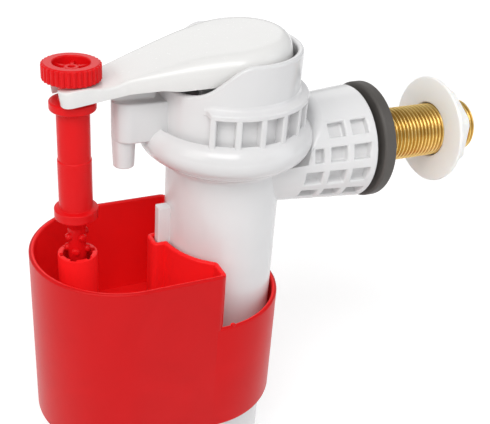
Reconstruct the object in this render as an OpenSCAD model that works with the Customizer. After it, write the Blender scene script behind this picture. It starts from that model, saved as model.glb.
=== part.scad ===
// Side-entry fill valve for a toilet cistern.
// A float cup slides on the down tube and hangs by an adjusting screw from a forked lever.
// The lever closes a pilot nozzle on the servo head; the inlet is a horizontal brass shank.
// Origin: centre of the inlet barrel's seat face. +X points out of the cistern, +Z is up.

/* [Inlet barrel] */
// Distance from the down tube's axis to the barrel's seat face
inlet_reach = 42.3; // [41:0.1:46]
// Outer radius of the barrel at the seat face
barrel_r = 17.3; // [16.5:0.1:17.6]
// Radius the tapered barrel would have at the down tube's axis
barrel_root_r = 13.6; // [13:0.1:15]
// Rows of moulded pockets round the barrel
pocket_rows = 11; // [8:1:13]
// Angle of the first and last pocket row from the top of the barrel
pocket_from = 49.5; // [40:0.1:60]
// Pocket length along the barrel
pocket_len = 5.1; // [3:0.1:6]
// Pocket width round the barrel
pocket_wide = 4.4; // [2.5:0.1:5]
// Pocket depth
pocket_deep = 3.2; // [1:0.1:4]
// Distance of the first pocket column from the seat face
pocket_edge = 5.3; // [4.5:0.1:7]
// Distance between pocket columns
pocket_pitch = 7.4; // [6.6:0.05:8]

/* [Brass shank] */
// Thread crest radius of the shank
shank_r = 8.33; // [8.2:0.01:8.5]
// Length of the shank outside the seat face
shank_out = 42.9; // [41:0.1:48]
// Wall left between the collar's groove and the shank's socket
socket_web = 2.2; // [2:0.1:4]
// Radial gap between thread and socket
thread_clear = 0.05; // [0.02:0.01:0.1]
// Radius of the supply bore at the free end
supply_r = 5.8; // [5.2:0.1:6]
// Length of the supply bore
supply_len = 23.7; // [20:0.1:25]
// Radius of the inner bore
inner_bore_r = 5; // [4.5:0.1:5.1]
// Chamfer on the thread at the free end
end_chamfer = 0.8; // [0.3:0.1:1.2]
// Radius of the nose inside the O-ring
nose_r = 6.3; // [6:0.1:6.5]
// Length of the nose
nose_len = 2.1; // [2:0.1:2.4]

/* [Seal and nut] */
// Outer radius of the rubber washer
washer_r = 17.8; // [16:0.1:19]
// Thickness of the rubber washer
washer_t = 4; // [3:0.1:4.2]
// Gap between barrel and washer as it hangs loose on the thread
washer_gap = 2.1; // [2.1:0.1:3]
// Radial gap between washer and thread
washer_clear = 0.42; // [0.3:0.02:0.8]
// Distance from the seat face to the nut's clamping face
nut_at = 29.8; // [26:0.1:32]
// Flange radius of the back nut
nut_flange_r = 16.95; // [15:0.05:18]
// Flange thickness of the back nut
nut_flange_t = 2.6; // [2:0.1:3.5]
// Length of the whole nut
nut_len = 8; // [7:0.1:9]
// Corner radius of the hexagon
nut_hex_r = 13.2; // [12:0.1:13.5]
// Radial gap between nut and thread crests
nut_clear = 0.3; // [0.25:0.01:0.5]

/* [Down tube] */
// Outer radius of the down tube
tube_r = 16.75; // [16.2:0.05:16.8]
// Wall of the down tube
tube_wall = 2; // [1.5:0.1:2.5]
// Distance from the inlet axis to the open end of the tube
tube_drop = 112; // [100:1:140]
// Width of the key rib that keeps the float from turning
rib_w = 3.2; // [2:0.1:3.4]
// Height of the key rib over the tube
rib_out = 3.55; // [3:0.05:3.6]
// Distance from the inlet axis down to the key rib's top
rib_top = 13; // [12:0.5:18]

/* [Valve bowl] */
// Width of the collar outside the bowl
collar_lip = 3.2; // [3.1:0.1:3.5]
// Height of the bowl's rim over the inlet axis
bowl_rim = 9.5; // [9.3:0.1:9.6]
// Height of the chamber floor
bowl_floor = 5; // [4.8:0.1:5.5]
// Wall of the bowl round the chamber
bowl_wall = 3.3; // [3.2:0.1:4.5]
// Radius of the seat's outlet hole
outlet_r = 5; // [4.5:0.1:5]
// Outer radius of the seat insert
seat_r = 7; // [6.8:0.1:7.2]
// Radius of the channel from the shank
channel_r = 3.6; // [3:0.1:3.7]
// Distance of the rising port from the tube axis
port_x = 13.5; // [13:0.1:14.5]

/* [Servo parts] */
// Thickness of the rubber diaphragm
diaphragm_t = 1.46; // [1.2:0.02:1.46]
// Distance of the diaphragm's edge from the bowl's outside
diaphragm_edge = 0.4; // [0.2:0.1:1.8]
// Radius of the metering pin
meter_r = 0.5; // [0.4:0.05:0.6]
// Distance of the metering pin from the tube axis
meter_x = 12; // [11:0.1:13]
// Radius of the core's pressure plate
core_plate_r = 7.5; // [7:0.1:9]
// Distance of the pilot nozzle from the tube axis
pilot_x = 6; // [4:0.1:7]

/* [Head cap] */
// Outer radius of the rounded collar
collar_r = 25; // [24.6:0.1:25.2]
// Rounding radius of the collar
collar_round = 5.2; // [5:0.1:5.3]
// Height of the collar's middle
collar_mid = 8.55; // [8.4:0.05:8.7]
// Step from the collar in to the cap wall
collar_step = 5; // [4.6:0.1:5.1]
// Thickness of the cap wall
cap_wall = 1.8; // [1.5:0.1:1.9]
// Height of the cap's top plate
plate_top = 17.3; // [17:0.1:17.6]
// Height of the notched rim under the lever arm
rim_low = 25; // [24:0.1:25.4]
// Height of the shield wall round the lever's dome
shield_top = 34.6; // [33:0.1:36]
// Half of the angle covered by the ribbed band
band_half = 132; // [120:1:140]
// Number of ribs on the band
band_ribs = 15; // [9:1:21]
// Reach of the ribbed band outside the cap wall
band_reach = 2.8; // [2:0.1:3.4]
// Width of one rib
band_rib_w = 1.7; // [1:0.1:2.2]
// Half width of the drain spout block
spout_half = 4.6; // [4:0.1:5]
// Distance of the drain nozzle from the collar
spout_gap = 5.2; // [4.5:0.1:6]
// Height of the drain nozzle's lower end
spout_low = 1.9; // [0:0.1:4]
// Radius of the drain nozzle
spout_r = 3.3; // [3:0.1:3.5]

/* [Lever] */
// Distance of the hinge from the tube axis, on the arm side
hinge_x = 9; // [8.5:0.1:9.5]
// Height of the hinge
hinge_z = 29.8; // [29.5:0.1:30.2]
// Slope of the lever with the float at its lowest
lever_tilt = 8.4; // [7:0.1:9]
// Radius of the hinge pin
pin_r = 1.5; // [1.2:0.05:1.6]
// Radial running gap of the lever on the pin
pin_clear = 0.06; // [0.02:0.01:0.1]
// Gap between the dome and the shield wall
dome_gap = 1.2; // [1.2:0.1:1.8]
// Height of the dome
dome_h = 6.6; // [6.4:0.1:7.4]
// Half width of the fork
fork_half = 7.7; // [7.2:0.1:8]
// Thickness of the fork
fork_t = 3; // [2.6:0.1:3]
// Half width of the fork's slot
fork_slot = 4.2; // [4:0.1:4.4]
// Length of the slot behind the screw, room for the fork's swing
fork_slack = 2.6; // [1.5:0.1:3.5]

/* [Level screw] */
// Distance of the screw from the tube axis
screw_x = 43.8; // [43.4:0.1:44.2]
// Radius of the knob
knob_r = 7.65; // [7:0.05:8]
// Height of the knob's top
knob_top = 32.8; // [32:0.1:34]
// Height of the knob's underside
knob_low = 28.3; // [28.3:0.1:29]
// Radius of the neck in the fork
neck_r = 2.4; // [2.2:0.1:2.8]
// Radius of the collar under the fork
rest_r = 6.15; // [5.5:0.05:6.4]
// Radius of the rod
rod_r = 4.4; // [4:0.1:4.8]
// Radius of the thin stem in the socket
stem_r = 2.5; // [2:0.1:2.6]
// Depth of the stem's tip below the inlet axis
stem_end = 49; // [40:0.5:54]
// Depth of the stem's upper end
stem_top = 15; // [13:0.1:16]
// Depth of the rod's lower flange
flange_low = 11.6; // [11:0.1:12]
// Thickness of the lower flange
flange_t = 2.7; // [2:0.1:3]
// Width of the lower flange outside the rod
flange_out = 1.6; // [1:0.1:2]
// Height of the small step in the rod
rod_step = 5.7; // [2:0.1:12]
// Height of the fork's resting collar
rest_top = 22.6; // [22:0.1:22.8]
// Thickness of the resting collar
rest_t = 2.6; // [2:0.1:3]
// Length of the hourglass neck's waist
neck_len = 3.6; // [2:0.1:3.6]
// Radius of the neck under the knob
neck_end_r = 3.8; // [3.2:0.1:3.9]

/* [Float cup] */
// Radius of the cup's round ends
cup_r = 25.5; // [25.3:0.1:26]
// Distance from the screw to the cup's outer end
cup_beyond = 13.3; // [12.5:0.1:14.5]
// Wall of the cup's inner end outside the tube's sleeve
cup_end = 1.15; // [1.1:0.05:1.6]
// Wall of the cup
cup_wall = 1.5; // [1.2:0.1:1.8]
// Depth of the rim below the inlet axis
cup_rim = 23.6; // [22:0.1:25]
// Depth of the low band's edge below the inlet axis
cup_band = 41.8; // [40:0.1:44]
// Depth of the cup's lower edge below the inlet axis
cup_low = 79; // [74:0.5:90]
// Depth of the deck between water cup and air chamber
cup_deck = 56; // [50:0.5:60]
// Thickness of the deck
deck_t = 1.6; // [1.2:0.1:2]
// Distance of the cup's cut-off face from the tube axis
cup_cut = 8.1; // [7:0.1:9]
// Radial gap between the cup's sleeve and the down tube
sleeve_clear = 0.5; // [0.4:0.05:0.6]
// Wall of the sleeve
sleeve_wall = 1.9; // [1.5:0.1:2]
// Outer radius of the screw socket
socket_r = 5.6; // [5.2:0.1:6]
// Bore radius of the screw socket
socket_bore = 4.1; // [4:0.05:4.3]

/* [Hidden] */
$fn = 96;
e = 0.01;
white = [0.93, 0.93, 0.91];
red = [0.83, 0.07, 0.07];
tube_bore = tube_r - tube_wall;
block_deep = 9;
bowl_base = 3.4;
flare_h = 3;
bowl_r = collar_r - collar_lip;
chamber_r = bowl_r - bowl_wall;
diaphragm_r = bowl_r - diaphragm_edge;
rib_reach = tube_r + rib_out;
cap_r = collar_r - collar_step;
cap_side = 3;
band_r = cap_r + band_reach;
spout_x = collar_r + spout_gap;
spout_wall = 1.2;
spout_in = 1.3;
spout_block_low = 10;
spout_block_h = 11.3;
duct_r = 1.9;
duct_up = 2;
dome_r = cap_r - cap_wall - dome_gap;
sleeve_r = tube_r + sleeve_clear;
cup_near = cup_r - sleeve_r - cup_end;
cup_far = screw_x + cup_beyond - cup_r;
edge = 1;
edge_t = 0.6;
small = 0.2;
knob_deep = 2;
knob_rim = 2.45;
knob_sink = 0.4;
knob_hub_r = 2;
spoke_w = 1;
tip_in = 0.6;
tip_len = 2;
lug_r = 1.1;
lug_drop = 2.6;
lug_pitch = 4.4;
trim_drop = 1.3;
rivet_r = 2.45;
plug_clear = 0.7;
core_plate_t = 1.4;
fit = 0.02;
meter_sink = 2;
meter_len = 10.9;
boss_h = 5.7;
boss_r = 5;
nozzle_bore = 0.6;
nozzle_base_r = 2.5;
nozzle_step_r = 3.6;
nozzle_step_t = 1.5;
nozzle_root_r = 2.8;
nozzle_tip_r = 1.3;
plate_t = 2;
arm_end = 22;
arm_corner = 1.5;
arm_rise = 0.6;
dome_round = 4.4;
fork_beyond = 5.3;
fork_root = 13.7;
web_t = 3;
web_h = 4.6;
holder_r = 4.4;
regulator_t = 2;
regulator_len = 7;
regulator_stem_r = 1.8;
regulator_head_r = 2.6;
flute_r = 0.8;
flute_at = 3.2;
basket_r = 4.4;
basket_wall = 0.8;
basket_len = 16;
basket_slot = 1.8;
basket_slot_len = 11;
bore_step = 0.4;
bore_step_len = 1.3;
washer_round = 1;
nut_rim = 1.4;
nut_bevel = 1.2;
key_side = 0.4;
key_end = 0.5;
key_wall = 1.9;
slot_w = 1.8;
slot_deep = 8;
slot_cut = 0.8;
deck_sink = 0.5;
socket_floor = 1;
barrel_slope = (barrel_r - barrel_root_r) / inlet_reach;
barrel_angle = atan(barrel_slope);
seat_boss_r = 8.5;
plug_t = 1.5;
cap_clear = 0.4;
cap_land = bowl_rim + plug_t;
band_low = 20.75;
ring_gap = 0.8;
notch_at = 14;
notch_top = shield_top + 0.4;
band_edge = 0.8;
band_slope = 1.9;
band_root = 0.9;
band_h = 3.4;
wall_in = 0.7;
dome_x = 9.3;
lever_drop = 1;
lever_skin = 1.6;
ear_r = 2.5;
hub_r = 2.6;
wall_arc_x = 3.5;
wall_arc_gap = 3.95;
wall_arc_r = sleeve_r + wall_arc_gap;
hub_half = 5.9;
ear_in = 6.2;
ear_out = 8.4;
pad_r = 3;
pad_low = 1.2;
pad_seat = 2.2;
pad_top = 3.4;
nozzle_tip = hinge_z - lever_drop + pad_low - 0.1;
shank_start = collar_r + ring_gap + socket_web;
strainer_t = 1.2;
rows_step = (360 - 2 * pocket_from) / (pocket_rows - 1);

// The moving head is drawn about the down tube's axis and shifted to the seat face's origin
module at_tube() {
    translate([-inlet_reach, 0, 0]) children();
}

// A cylinder lying along the inlet axis, from x0 to x1 measured from the tube axis
module inlet_rod(x0, x1, r) {
    translate([x0, 0, 0]) rotate([0, 90, 0]) cylinder(h = x1 - x0, r = r);
}

// One moulded pocket in the barrel's skin
module barrel_pocket(x, a) {
    rotate([a, 0, 0]) translate([x, 0, barrel_root_r + barrel_slope * x]) rotate([0, -barrel_angle, 0])
        translate([-pocket_len / 2, -pocket_wide / 2, -pocket_deep])
            cube([pocket_len, pocket_wide, pocket_deep + 2]);
}

// Pocket columns nearest the seat go all round; the third only where the barrel is clear of the cap
module barrel_pockets() {
    for (i = [0 : pocket_rows - 1]) {
        a = pocket_from + i * rows_step;
        for (c = [0 : 1]) barrel_pocket(inlet_reach - pocket_edge - c * pocket_pitch, a);
        if (a > 68 && a < 292) barrel_pocket(inlet_reach - pocket_edge - 2 * pocket_pitch, a);
    }
}

// Down tube, bowl and inlet barrel in one moulding
module valve_body() color(white) at_tube() difference() {
    union() {
        translate([0, 0, -tube_drop]) cylinder(h = tube_drop + bowl_base, r = tube_r);
        translate([0, 0, bowl_base - flare_h]) cylinder(h = flare_h, r1 = tube_r, r2 = bowl_r);
        translate([0, 0, bowl_base]) cylinder(h = bowl_rim - bowl_base, r = bowl_r);
        difference() {
            rotate([0, 90, 0]) cylinder(h = inlet_reach, r1 = barrel_root_r, r2 = barrel_r);
            translate([0, 0, bowl_base - trim_drop]) cylinder(h = inlet_reach, r = collar_r + ring_gap);
        }
        translate([-rib_reach, -rib_w / 2, -tube_drop])
            cube([rib_reach - tube_r + 1, rib_w, tube_drop - rib_top]);
    }
    translate([0, 0, -tube_drop - 1]) cylinder(h = tube_drop + 1 - block_deep, r = tube_bore);
    translate([0, 0, -block_deep - 1]) cylinder(h = block_deep + 2, r = outlet_r);
    cylinder(h = 2 * bowl_rim, r = seat_r + fit);
    difference() {
        translate([0, 0, bowl_floor]) cylinder(h = 2 * bowl_rim, r = chamber_r);
        cylinder(h = bowl_rim - plug_t, r = seat_boss_r);
    }
    inlet_rod(port_x - channel_r - small, shank_start + edge, channel_r);
    translate([port_x, 0, 0]) cylinder(h = bowl_floor + edge, r = channel_r - edge_t);
    inlet_rod(shank_start, inlet_reach + 1, shank_r + thread_clear);
    translate([-meter_x, 0, bowl_floor - meter_sink]) cylinder(h = meter_sink + edge, r = meter_r + fit);
    barrel_pockets();
}

// Hard seat ring pressed into the middle of the bowl
module seat_insert() color([0.2, 0.4, 0.6]) at_tube() difference() {
    cylinder(h = bowl_rim - small / 2, r = seat_r);
    translate([0, 0, -1]) cylinder(h = bowl_rim + 1, r = outlet_r);
}

// Steel pin that meters water through the diaphragm
module metering_pin() color("silver") at_tube() translate([-meter_x, 0, bowl_floor - meter_sink + fit])
    cylinder(h = meter_len, r = meter_r);

// Rubber diaphragm clamped between bowl and cap
module diaphragm() color([0.12, 0.12, 0.12]) at_tube() translate([0, 0, bowl_rim + fit]) difference() {
    cylinder(h = diaphragm_t, r = diaphragm_r);
    translate([0, 0, -1]) cylinder(h = diaphragm_t + 2, r = rivet_r + small / 4);
    translate([-meter_x, 0, -1]) cylinder(h = diaphragm_t + 2, r = meter_r + small);
}

// Stiff core riveted through the diaphragm
module diaphragm_core() color([0.85, 0.85, 0.8]) at_tube() {
    translate([0, 0, bowl_rim - plug_t]) cylinder(h = plug_t, r = outlet_r - plug_clear);
    translate([0, 0, bowl_rim - e]) cylinder(h = cap_land - bowl_rim + 2 * e, r = rivet_r);
    translate([0, 0, cap_land]) cylinder(h = core_plate_t, r = core_plate_r);
}

// Upstand that carries one end of the hinge pin
module hinge_ear(side) {
    y0 = side > 0 ? ear_in : -ear_out;
    translate([-hinge_x - ear_r, y0, plate_top - 1])
        cube([2 * ear_r, ear_out - ear_in, hinge_z - plate_top + 1]);
    translate([-hinge_x, y0, hinge_z]) rotate([-90, 0, 0]) cylinder(h = ear_out - ear_in, r = ear_r);
}

// Turned core of the cap: rounded collar over the bowl's rim, land and top plate
module cap_core() rotate_extrude() difference() {
    union() {
        translate([collar_r - collar_round, collar_mid]) circle(r = collar_round);
        translate([0, cap_land]) square([cap_r, plate_top - cap_land]);
    }
    translate([0, -collar_r]) square([bowl_r + cap_clear, cap_land + collar_r]);
    square([cap_r - cap_side, plate_top - plate_t]);
}

// Wall above the plate: notched on the arm side, raised to a shield round the dome
module cap_wall_ring() difference() {
    translate([0, 0, plate_top - 1]) cylinder(h = shield_top - plate_top + 1, r = cap_r);
    translate([0, 0, plate_top - 2 * edge]) cylinder(h = shield_top, r = cap_r - cap_wall);
    translate([0, 2 * cap_r, 0]) rotate([90, 0, 0]) linear_extrude(height = 4 * cap_r) polygon([
        [-2 * cap_r, rim_low], [-notch_at, rim_low], [notch_top - rim_low - notch_at, notch_top],
        [notch_top - rim_low - notch_at, 2 * shield_top], [-2 * cap_r, 2 * shield_top]]);
}

// Ribbed band: a sloped shelf with fins under it
module cap_band() {
    rotate([0, 0, -band_half]) rotate_extrude(angle = 2 * band_half) polygon([
        [cap_r - wall_in, band_low], [band_r, band_low], [band_r, band_low + band_edge],
        [band_r - band_edge, band_low + 2 * band_edge], [cap_r + band_root, band_low + band_slope],
        [cap_r + band_root / 3, band_low + 1.4 * band_slope], [cap_r - wall_in, band_low + band_h]]);
    for (i = [0 : band_ribs - 1])
        rotate([0, 0, -band_half + 8.5 + i * (2 * band_half - 17) / (band_ribs - 1)])
            translate([cap_r - wall_in - small, -band_rib_w / 2, cap_land + edge])
                cube([band_r - cap_r + wall_in, band_rib_w, band_low - cap_land - edge / 2]);
}

// Drain spout that returns the pilot water to the float cup
module cap_spout() {
    block_x = spout_x - spout_in;
    low_in = bowl_r + cap_clear + plug_clear;
    translate([-block_x, -spout_half, spout_block_low])
        cube([block_x - low_in, 2 * spout_half, spout_block_h]);
    translate([-block_x, -spout_half, cap_land + small]) cube([block_x - cap_r + edge, 2 * spout_half,
        spout_block_low + spout_block_h - cap_land - small]);
    translate([-block_x, 0, spout_block_low]) cylinder(h = spout_block_h, r = spout_half);
    translate([-spout_x, 0, spout_low])
        cylinder(h = spout_block_low - spout_low + edge, r1 = spout_r - small, r2 = spout_r);
}

// Head cap: collar, wall with shield, ribbed band, hinge ears and drain spout
module head_cap() color(white) at_tube() difference() {
    union() {
        cap_core();
        cap_wall_ring();
        cap_band();
        cap_spout();
        hinge_ear(1);
        hinge_ear(-1);
        translate([pilot_x, 0, plate_top - edge]) cylinder(h = boss_h, r = boss_r);
    }
    translate([pilot_x, 0, cap_land]) cylinder(h = plate_top, r = nozzle_base_r);
    translate([-hinge_x, ear_out + 1, hinge_z]) rotate([90, 0, 0]) cylinder(h = 2 * ear_out + 2, r = pin_r);
    translate([-spout_x, 0, spout_low - 1])
        cylinder(h = plate_top + duct_up - spout_low + 1, r = spout_r - spout_wall);
    translate([-spout_x, 0, plate_top + duct_up]) rotate([0, 90, 0])
        cylinder(h = spout_x - cap_r + cap_wall + 1, r = duct_r);
}

// Pilot nozzle pressed into the cap
module pilot_nozzle() color([0.8, 0.8, 0.75]) at_tube() translate([pilot_x, 0, 0]) difference() {
    union() {
        step_z = plate_top - edge + boss_h;
        translate([0, 0, plate_top - plate_t])
            cylinder(h = step_z - plate_top + plate_t + edge, r = nozzle_base_r - fit);
        translate([0, 0, step_z]) cylinder(h = nozzle_step_t, r = nozzle_step_r);
        translate([0, 0, step_z + nozzle_step_t - e])
            cylinder(h = nozzle_tip - step_z - nozzle_step_t + e, r1 = nozzle_root_r, r2 = nozzle_tip_r);
    }
    cylinder(h = 2 * nozzle_tip, r = nozzle_bore);
}

// Steel hinge pin of the lever
module hinge_pin() color("silver") at_tube() translate([-hinge_x, ear_out, hinge_z]) rotate([90, 0, 0])
    cylinder(h = 2 * ear_out, r = pin_r);

// Everything on the lever is drawn level about the hinge and then tilted to its rest slope
module at_hinge() {
    at_tube() translate([-hinge_x, 0, hinge_z]) rotate([0, -lever_tilt, 0])
        translate([0, 0, -lever_drop]) children();
}

// Round puck with a rolled upper edge
module puck(r, h, round) rotate_extrude($fn = 48) {
    square([r - round, h]);
    square([r, h - round]);
    intersection() {
        translate([r - round, h - round]) circle(r = round, $fn = 32);
        square([r, h]);
    }
}

// Teardrop shell of the lever: the dome drawn out into the arm
module lever_form(inset, drop) hull() {
    translate([dome_x, 0, 0]) puck(dome_r - inset, dome_h - drop, dome_round - inset / 2);
    for (s = [-1, 1]) translate([-arm_end, s * (fork_half - inset - arm_corner), 0])
        cylinder(h = fork_t + arm_rise - drop, r = arm_corner, $fn = 24);
}

// Lever with dome, arm, fork, hinge hub and pad holder
module lever() color(white) at_hinge() difference() {
    union() {
        difference() {
            lever_form(0, 0);
            translate([0, 0, -e]) lever_form(lever_skin, lever_skin);
        }
        translate([-screw_x + hinge_x - fork_beyond, -fork_half, 0])
            cube([fork_beyond + fork_root, 2 * fork_half, fork_t]);
        translate([0, hub_half, lever_drop]) rotate([90, 0, 0]) cylinder(h = 2 * hub_half, r = hub_r);
        translate([-web_t / 2, -hub_half, lever_drop]) cube([web_t, 2 * hub_half, web_h]);
        translate([hinge_x + pilot_x, 0, pad_seat]) cylinder(h = dome_h - pad_seat - edge, r = holder_r);
    }
    translate([0, hub_half + 1, lever_drop]) rotate([90, 0, 0])
        cylinder(h = 2 * hub_half + 2, r = pin_r + pin_clear);
    translate([-screw_x + hinge_x + fork_slack, 0, -1]) cylinder(h = fork_t + 2, r = fork_slot);
    translate([-screw_x + hinge_x - 2 * fork_beyond, -fork_slot, -1])
        cube([2 * fork_beyond + fork_slack, 2 * fork_slot, fork_t + 2]);
    translate([hinge_x + pilot_x, 0, pad_seat - 1]) cylinder(h = pad_top - pad_seat + 1, r = pad_r + fit);
}

// Rubber pad that shuts the pilot nozzle
module pilot_pad() color([0.12, 0.12, 0.12]) at_hinge() translate([hinge_x + pilot_x, 0, pad_low])
    cylinder(h = pad_top - pad_low - e, r = pad_r);

// Brass shank screwed into the barrel
module inlet_shank() color([0.79, 0.61, 0.26]) at_tube() difference() {
    union() {
        inlet_rod(shank_start + small / 2, shank_start + nose_len + edge, nose_r);
        inlet_rod(shank_start + nose_len, inlet_reach + shank_out - end_chamfer, shank_r);
        translate([inlet_reach + shank_out - end_chamfer, 0, 0]) rotate([0, 90, 0])
            cylinder(h = end_chamfer, r1 = shank_r, r2 = shank_r - end_chamfer);
    }
    inlet_rod(shank_start - 1, inlet_reach + shank_out + 1, inner_bore_r);
    bore_end = inlet_reach + shank_out - supply_len;
    inlet_rod(bore_end - bore_step_len, inlet_reach + shank_out + 1, inner_bore_r + bore_step);
    inlet_rod(inlet_reach + shank_out - supply_len, inlet_reach + shank_out + 1, supply_r);
}

// O-ring between the shank's nose and the barrel's socket
module shank_o_ring() color([0.12, 0.12, 0.12]) at_tube()
    translate([shank_start + nose_len / 2, 0, 0]) rotate([0, 90, 0]) rotate_extrude()
        translate([(nose_r + shank_r + thread_clear) / 2, 0])
            circle(r = (shank_r + thread_clear - nose_r) / 2 - 4 * fit, $fn = 32);

// Ribbed core of the flow regulator
module regulator_core() color([0.85, 0.85, 0.8]) at_tube() difference() {
    union() {
        inlet_rod(shank_start + edge, shank_start + edge + regulator_t, inner_bore_r - fit);
        inlet_rod(shank_start + edge + regulator_t - e, shank_start + edge + regulator_len,
            regulator_stem_r);
        inlet_rod(shank_start + regulator_len, shank_start + edge + regulator_len, regulator_head_r);
    }
    for (i = [0 : 5]) rotate([60 * i, 0, 0]) translate([shank_start, 0, flute_at]) rotate([0, 90, 0])
        cylinder(h = 2 * regulator_t, r = flute_r);
}

// Soft ring of the flow regulator that swells with pressure
module regulator_ring() color([0.6, 0.1, 0.1]) at_tube()
    translate([shank_start + (edge + regulator_t + regulator_len) / 2, 0, 0]) rotate([0, 90, 0])
        rotate_extrude() translate([regulator_stem_r + edge + 2.5 * fit, 0]) circle(r = edge, $fn = 32);

// Basket strainer seated on the step in the shank's bore
module inlet_strainer() color([0.3, 0.6, 0.85]) at_tube() {
    x1 = inlet_reach + shank_out - supply_len - 4 * fit;
    difference() {
        union() {
            inlet_rod(x1 - strainer_t, x1, inner_bore_r + bore_step - 2 * fit);
            inlet_rod(x1 - basket_len, x1 - e, basket_r);
        }
        inlet_rod(x1 - basket_len + edge, x1 + edge, basket_r - basket_wall);
        for (i = [0 : 3]) rotate([45 * i, 0, 0])
            translate([x1 - basket_len + 2 * edge, -basket_slot / 2, -shank_r])
                cube([basket_slot_len, basket_slot, 2 * shank_r]);
    }
}

// Thick rubber washer that seals on the cistern's inner wall
module seal_washer() color([0.1, 0.1, 0.1]) at_tube() translate([inlet_reach + washer_gap, 0, 0])
    rotate([0, 90, 0]) rotate_extrude() {
        hole = shank_r + washer_clear;
        translate([hole, 0]) square([washer_r - washer_round - hole, washer_t]);
        translate([hole, washer_round]) square([washer_r - hole, washer_t - 2 * washer_round]);
        translate([washer_r - washer_round, washer_round]) circle(r = washer_round, $fn = 32);
        translate([washer_r - washer_round, washer_t - washer_round]) circle(r = washer_round, $fn = 32);
    }

// Flanged plastic back nut
module backnut() color(white) at_tube() translate([inlet_reach + nut_at, 0, 0]) rotate([0, 90, 0])
difference() {
    union() {
        cylinder(h = nut_rim, r = nut_flange_r);
        translate([0, 0, nut_rim - e])
            cylinder(h = nut_flange_t - nut_rim, r1 = nut_flange_r, r2 = nut_flange_r - nut_bevel);
        translate([0, 0, nut_flange_t - e])
            cylinder(h = nut_bevel, r1 = nut_flange_r - nut_bevel - edge, r2 = nut_hex_r - nut_rim);
        intersection() {
            cylinder(h = nut_len, r = nut_hex_r, $fn = 6);
            cylinder(h = nut_len, r1 = nut_hex_r + nut_flange_t, r2 = nut_hex_r - nut_bevel);
        }
    }
    translate([0, 0, -1]) cylinder(h = nut_len + 2, r = shank_r + nut_clear);
}

// One ring of four snap lugs on the screw's stem
module stem_lugs(z, a) {
    for (i = [0 : 3]) rotate([0, 0, a + 90 * i]) translate([stem_r + small / 2, 0, z])
        sphere(r = lug_r, $fn = 24);
}

// Level screw: knurled knob, hourglass neck, rod and thin stem
module level_screw() color(red) at_tube() translate([-screw_x, 0, 0]) {
    difference() {
        translate([0, 0, knob_low]) cylinder(h = knob_top - knob_low, r = knob_r);
        translate([0, 0, knob_top - knob_deep]) cylinder(h = knob_deep + 1, r = knob_r - knob_rim);
    }
    translate([0, 0, knob_low + edge]) cylinder(h = knob_top - knob_low - edge - knob_sink, r = knob_hub_r);
    for (i = [0 : 5]) rotate([0, 0, 60 * i]) translate([0, -spoke_w / 2, knob_top - knob_deep - knob_sink])
        cube([knob_r - knob_rim + 0.2, spoke_w, knob_deep]);
    rotate_extrude() polygon([
        [0, -stem_end], [stem_r - tip_in, -stem_end], [stem_r, tip_len - stem_end], [stem_r, -stem_top],
        [rod_r, -flange_low - knob_sink], [rod_r + flange_out, -flange_low],
        [rod_r + flange_out, flange_t - flange_low], [rod_r + small, flange_t + knob_sink - flange_low],
        [rod_r + small, rod_step], [rod_r, rod_step + 1.5 * small], [rod_r, rest_top - rest_t],
        [rest_r - edge / 2, rest_top - rest_t], [rest_r, rest_top - rest_t + edge_t],
        [rest_r, rest_top - edge_t], [rest_r - edge_t, rest_top], [neck_r + edge_t, rest_top],
        [neck_r, rest_top + edge], [neck_r, rest_top + edge + neck_len],
        [neck_end_r, knob_low], [neck_end_r, knob_low + edge], [0, knob_low + edge]]);
    stem_lugs(-stem_top - lug_drop, 20);
    stem_lugs(-stem_top - lug_drop - lug_pitch, 65);
}

// Plan of the cup: two round ends joined by straight sides
module cup_plan(inset) {
    translate([-cup_far, 0]) circle(r = cup_r - inset);
    translate([-cup_near, 0]) circle(r = cup_r - inset);
    translate([-cup_far, -cup_r + inset]) square([cup_far - cup_near, 2 * (cup_r - inset)]);
}

// Outer plan of the air chamber's sleeve round the down tube, with its key pocket
module sleeve_plan() {
    circle(r = sleeve_r + sleeve_wall);
    key_plan(rib_reach + key_end + key_wall - small, rib_w / 2 + key_wall);
}

// Outer plan of the water cup's inner wall, a wider arc with the same key pocket
module arc_plan() {
    translate([wall_arc_x, 0]) circle(r = wall_arc_r + cup_wall);
    key_plan(rib_reach + key_end + key_wall - small, rib_w / 2 + key_wall);
}

// Rectangle that reaches out along the key rib
module key_plan(reach, half) {
    translate([-reach, -half]) square([reach - tube_r + 2 * edge, 2 * half]);
}

// Space above the deck inside the water cup
module cup_space() translate([0, 0, -cup_deck]) linear_extrude(height = cup_deck) difference() {
    cup_plan(cup_wall);
    arc_plan();
    translate([-cup_cut - cup_wall, -2 * cup_r]) square(4 * cup_r);
}

// Space above the deck inside the low band and between the inner wall and the down tube
module band_space() {
    translate([0, 0, -cup_deck]) linear_extrude(height = cup_deck) intersection() {
        cup_plan(cup_wall);
        translate([wall_arc_x, 0]) circle(r = wall_arc_r);
    }
    translate([0, 0, -cup_deck]) linear_extrude(height = cup_deck - cup_band + 1) difference() {
        cup_plan(cup_wall);
        translate([-cup_cut - 4 * cup_r, -2 * cup_r]) square(4 * cup_r);
    }
}

// Space under the deck, open at the bottom
module air_space() translate([0, 0, -cup_low - 1])
    linear_extrude(height = cup_low + 1 - cup_deck - deck_t) difference() {
    cup_plan(cup_wall);
    sleeve_plan();
}

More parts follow.
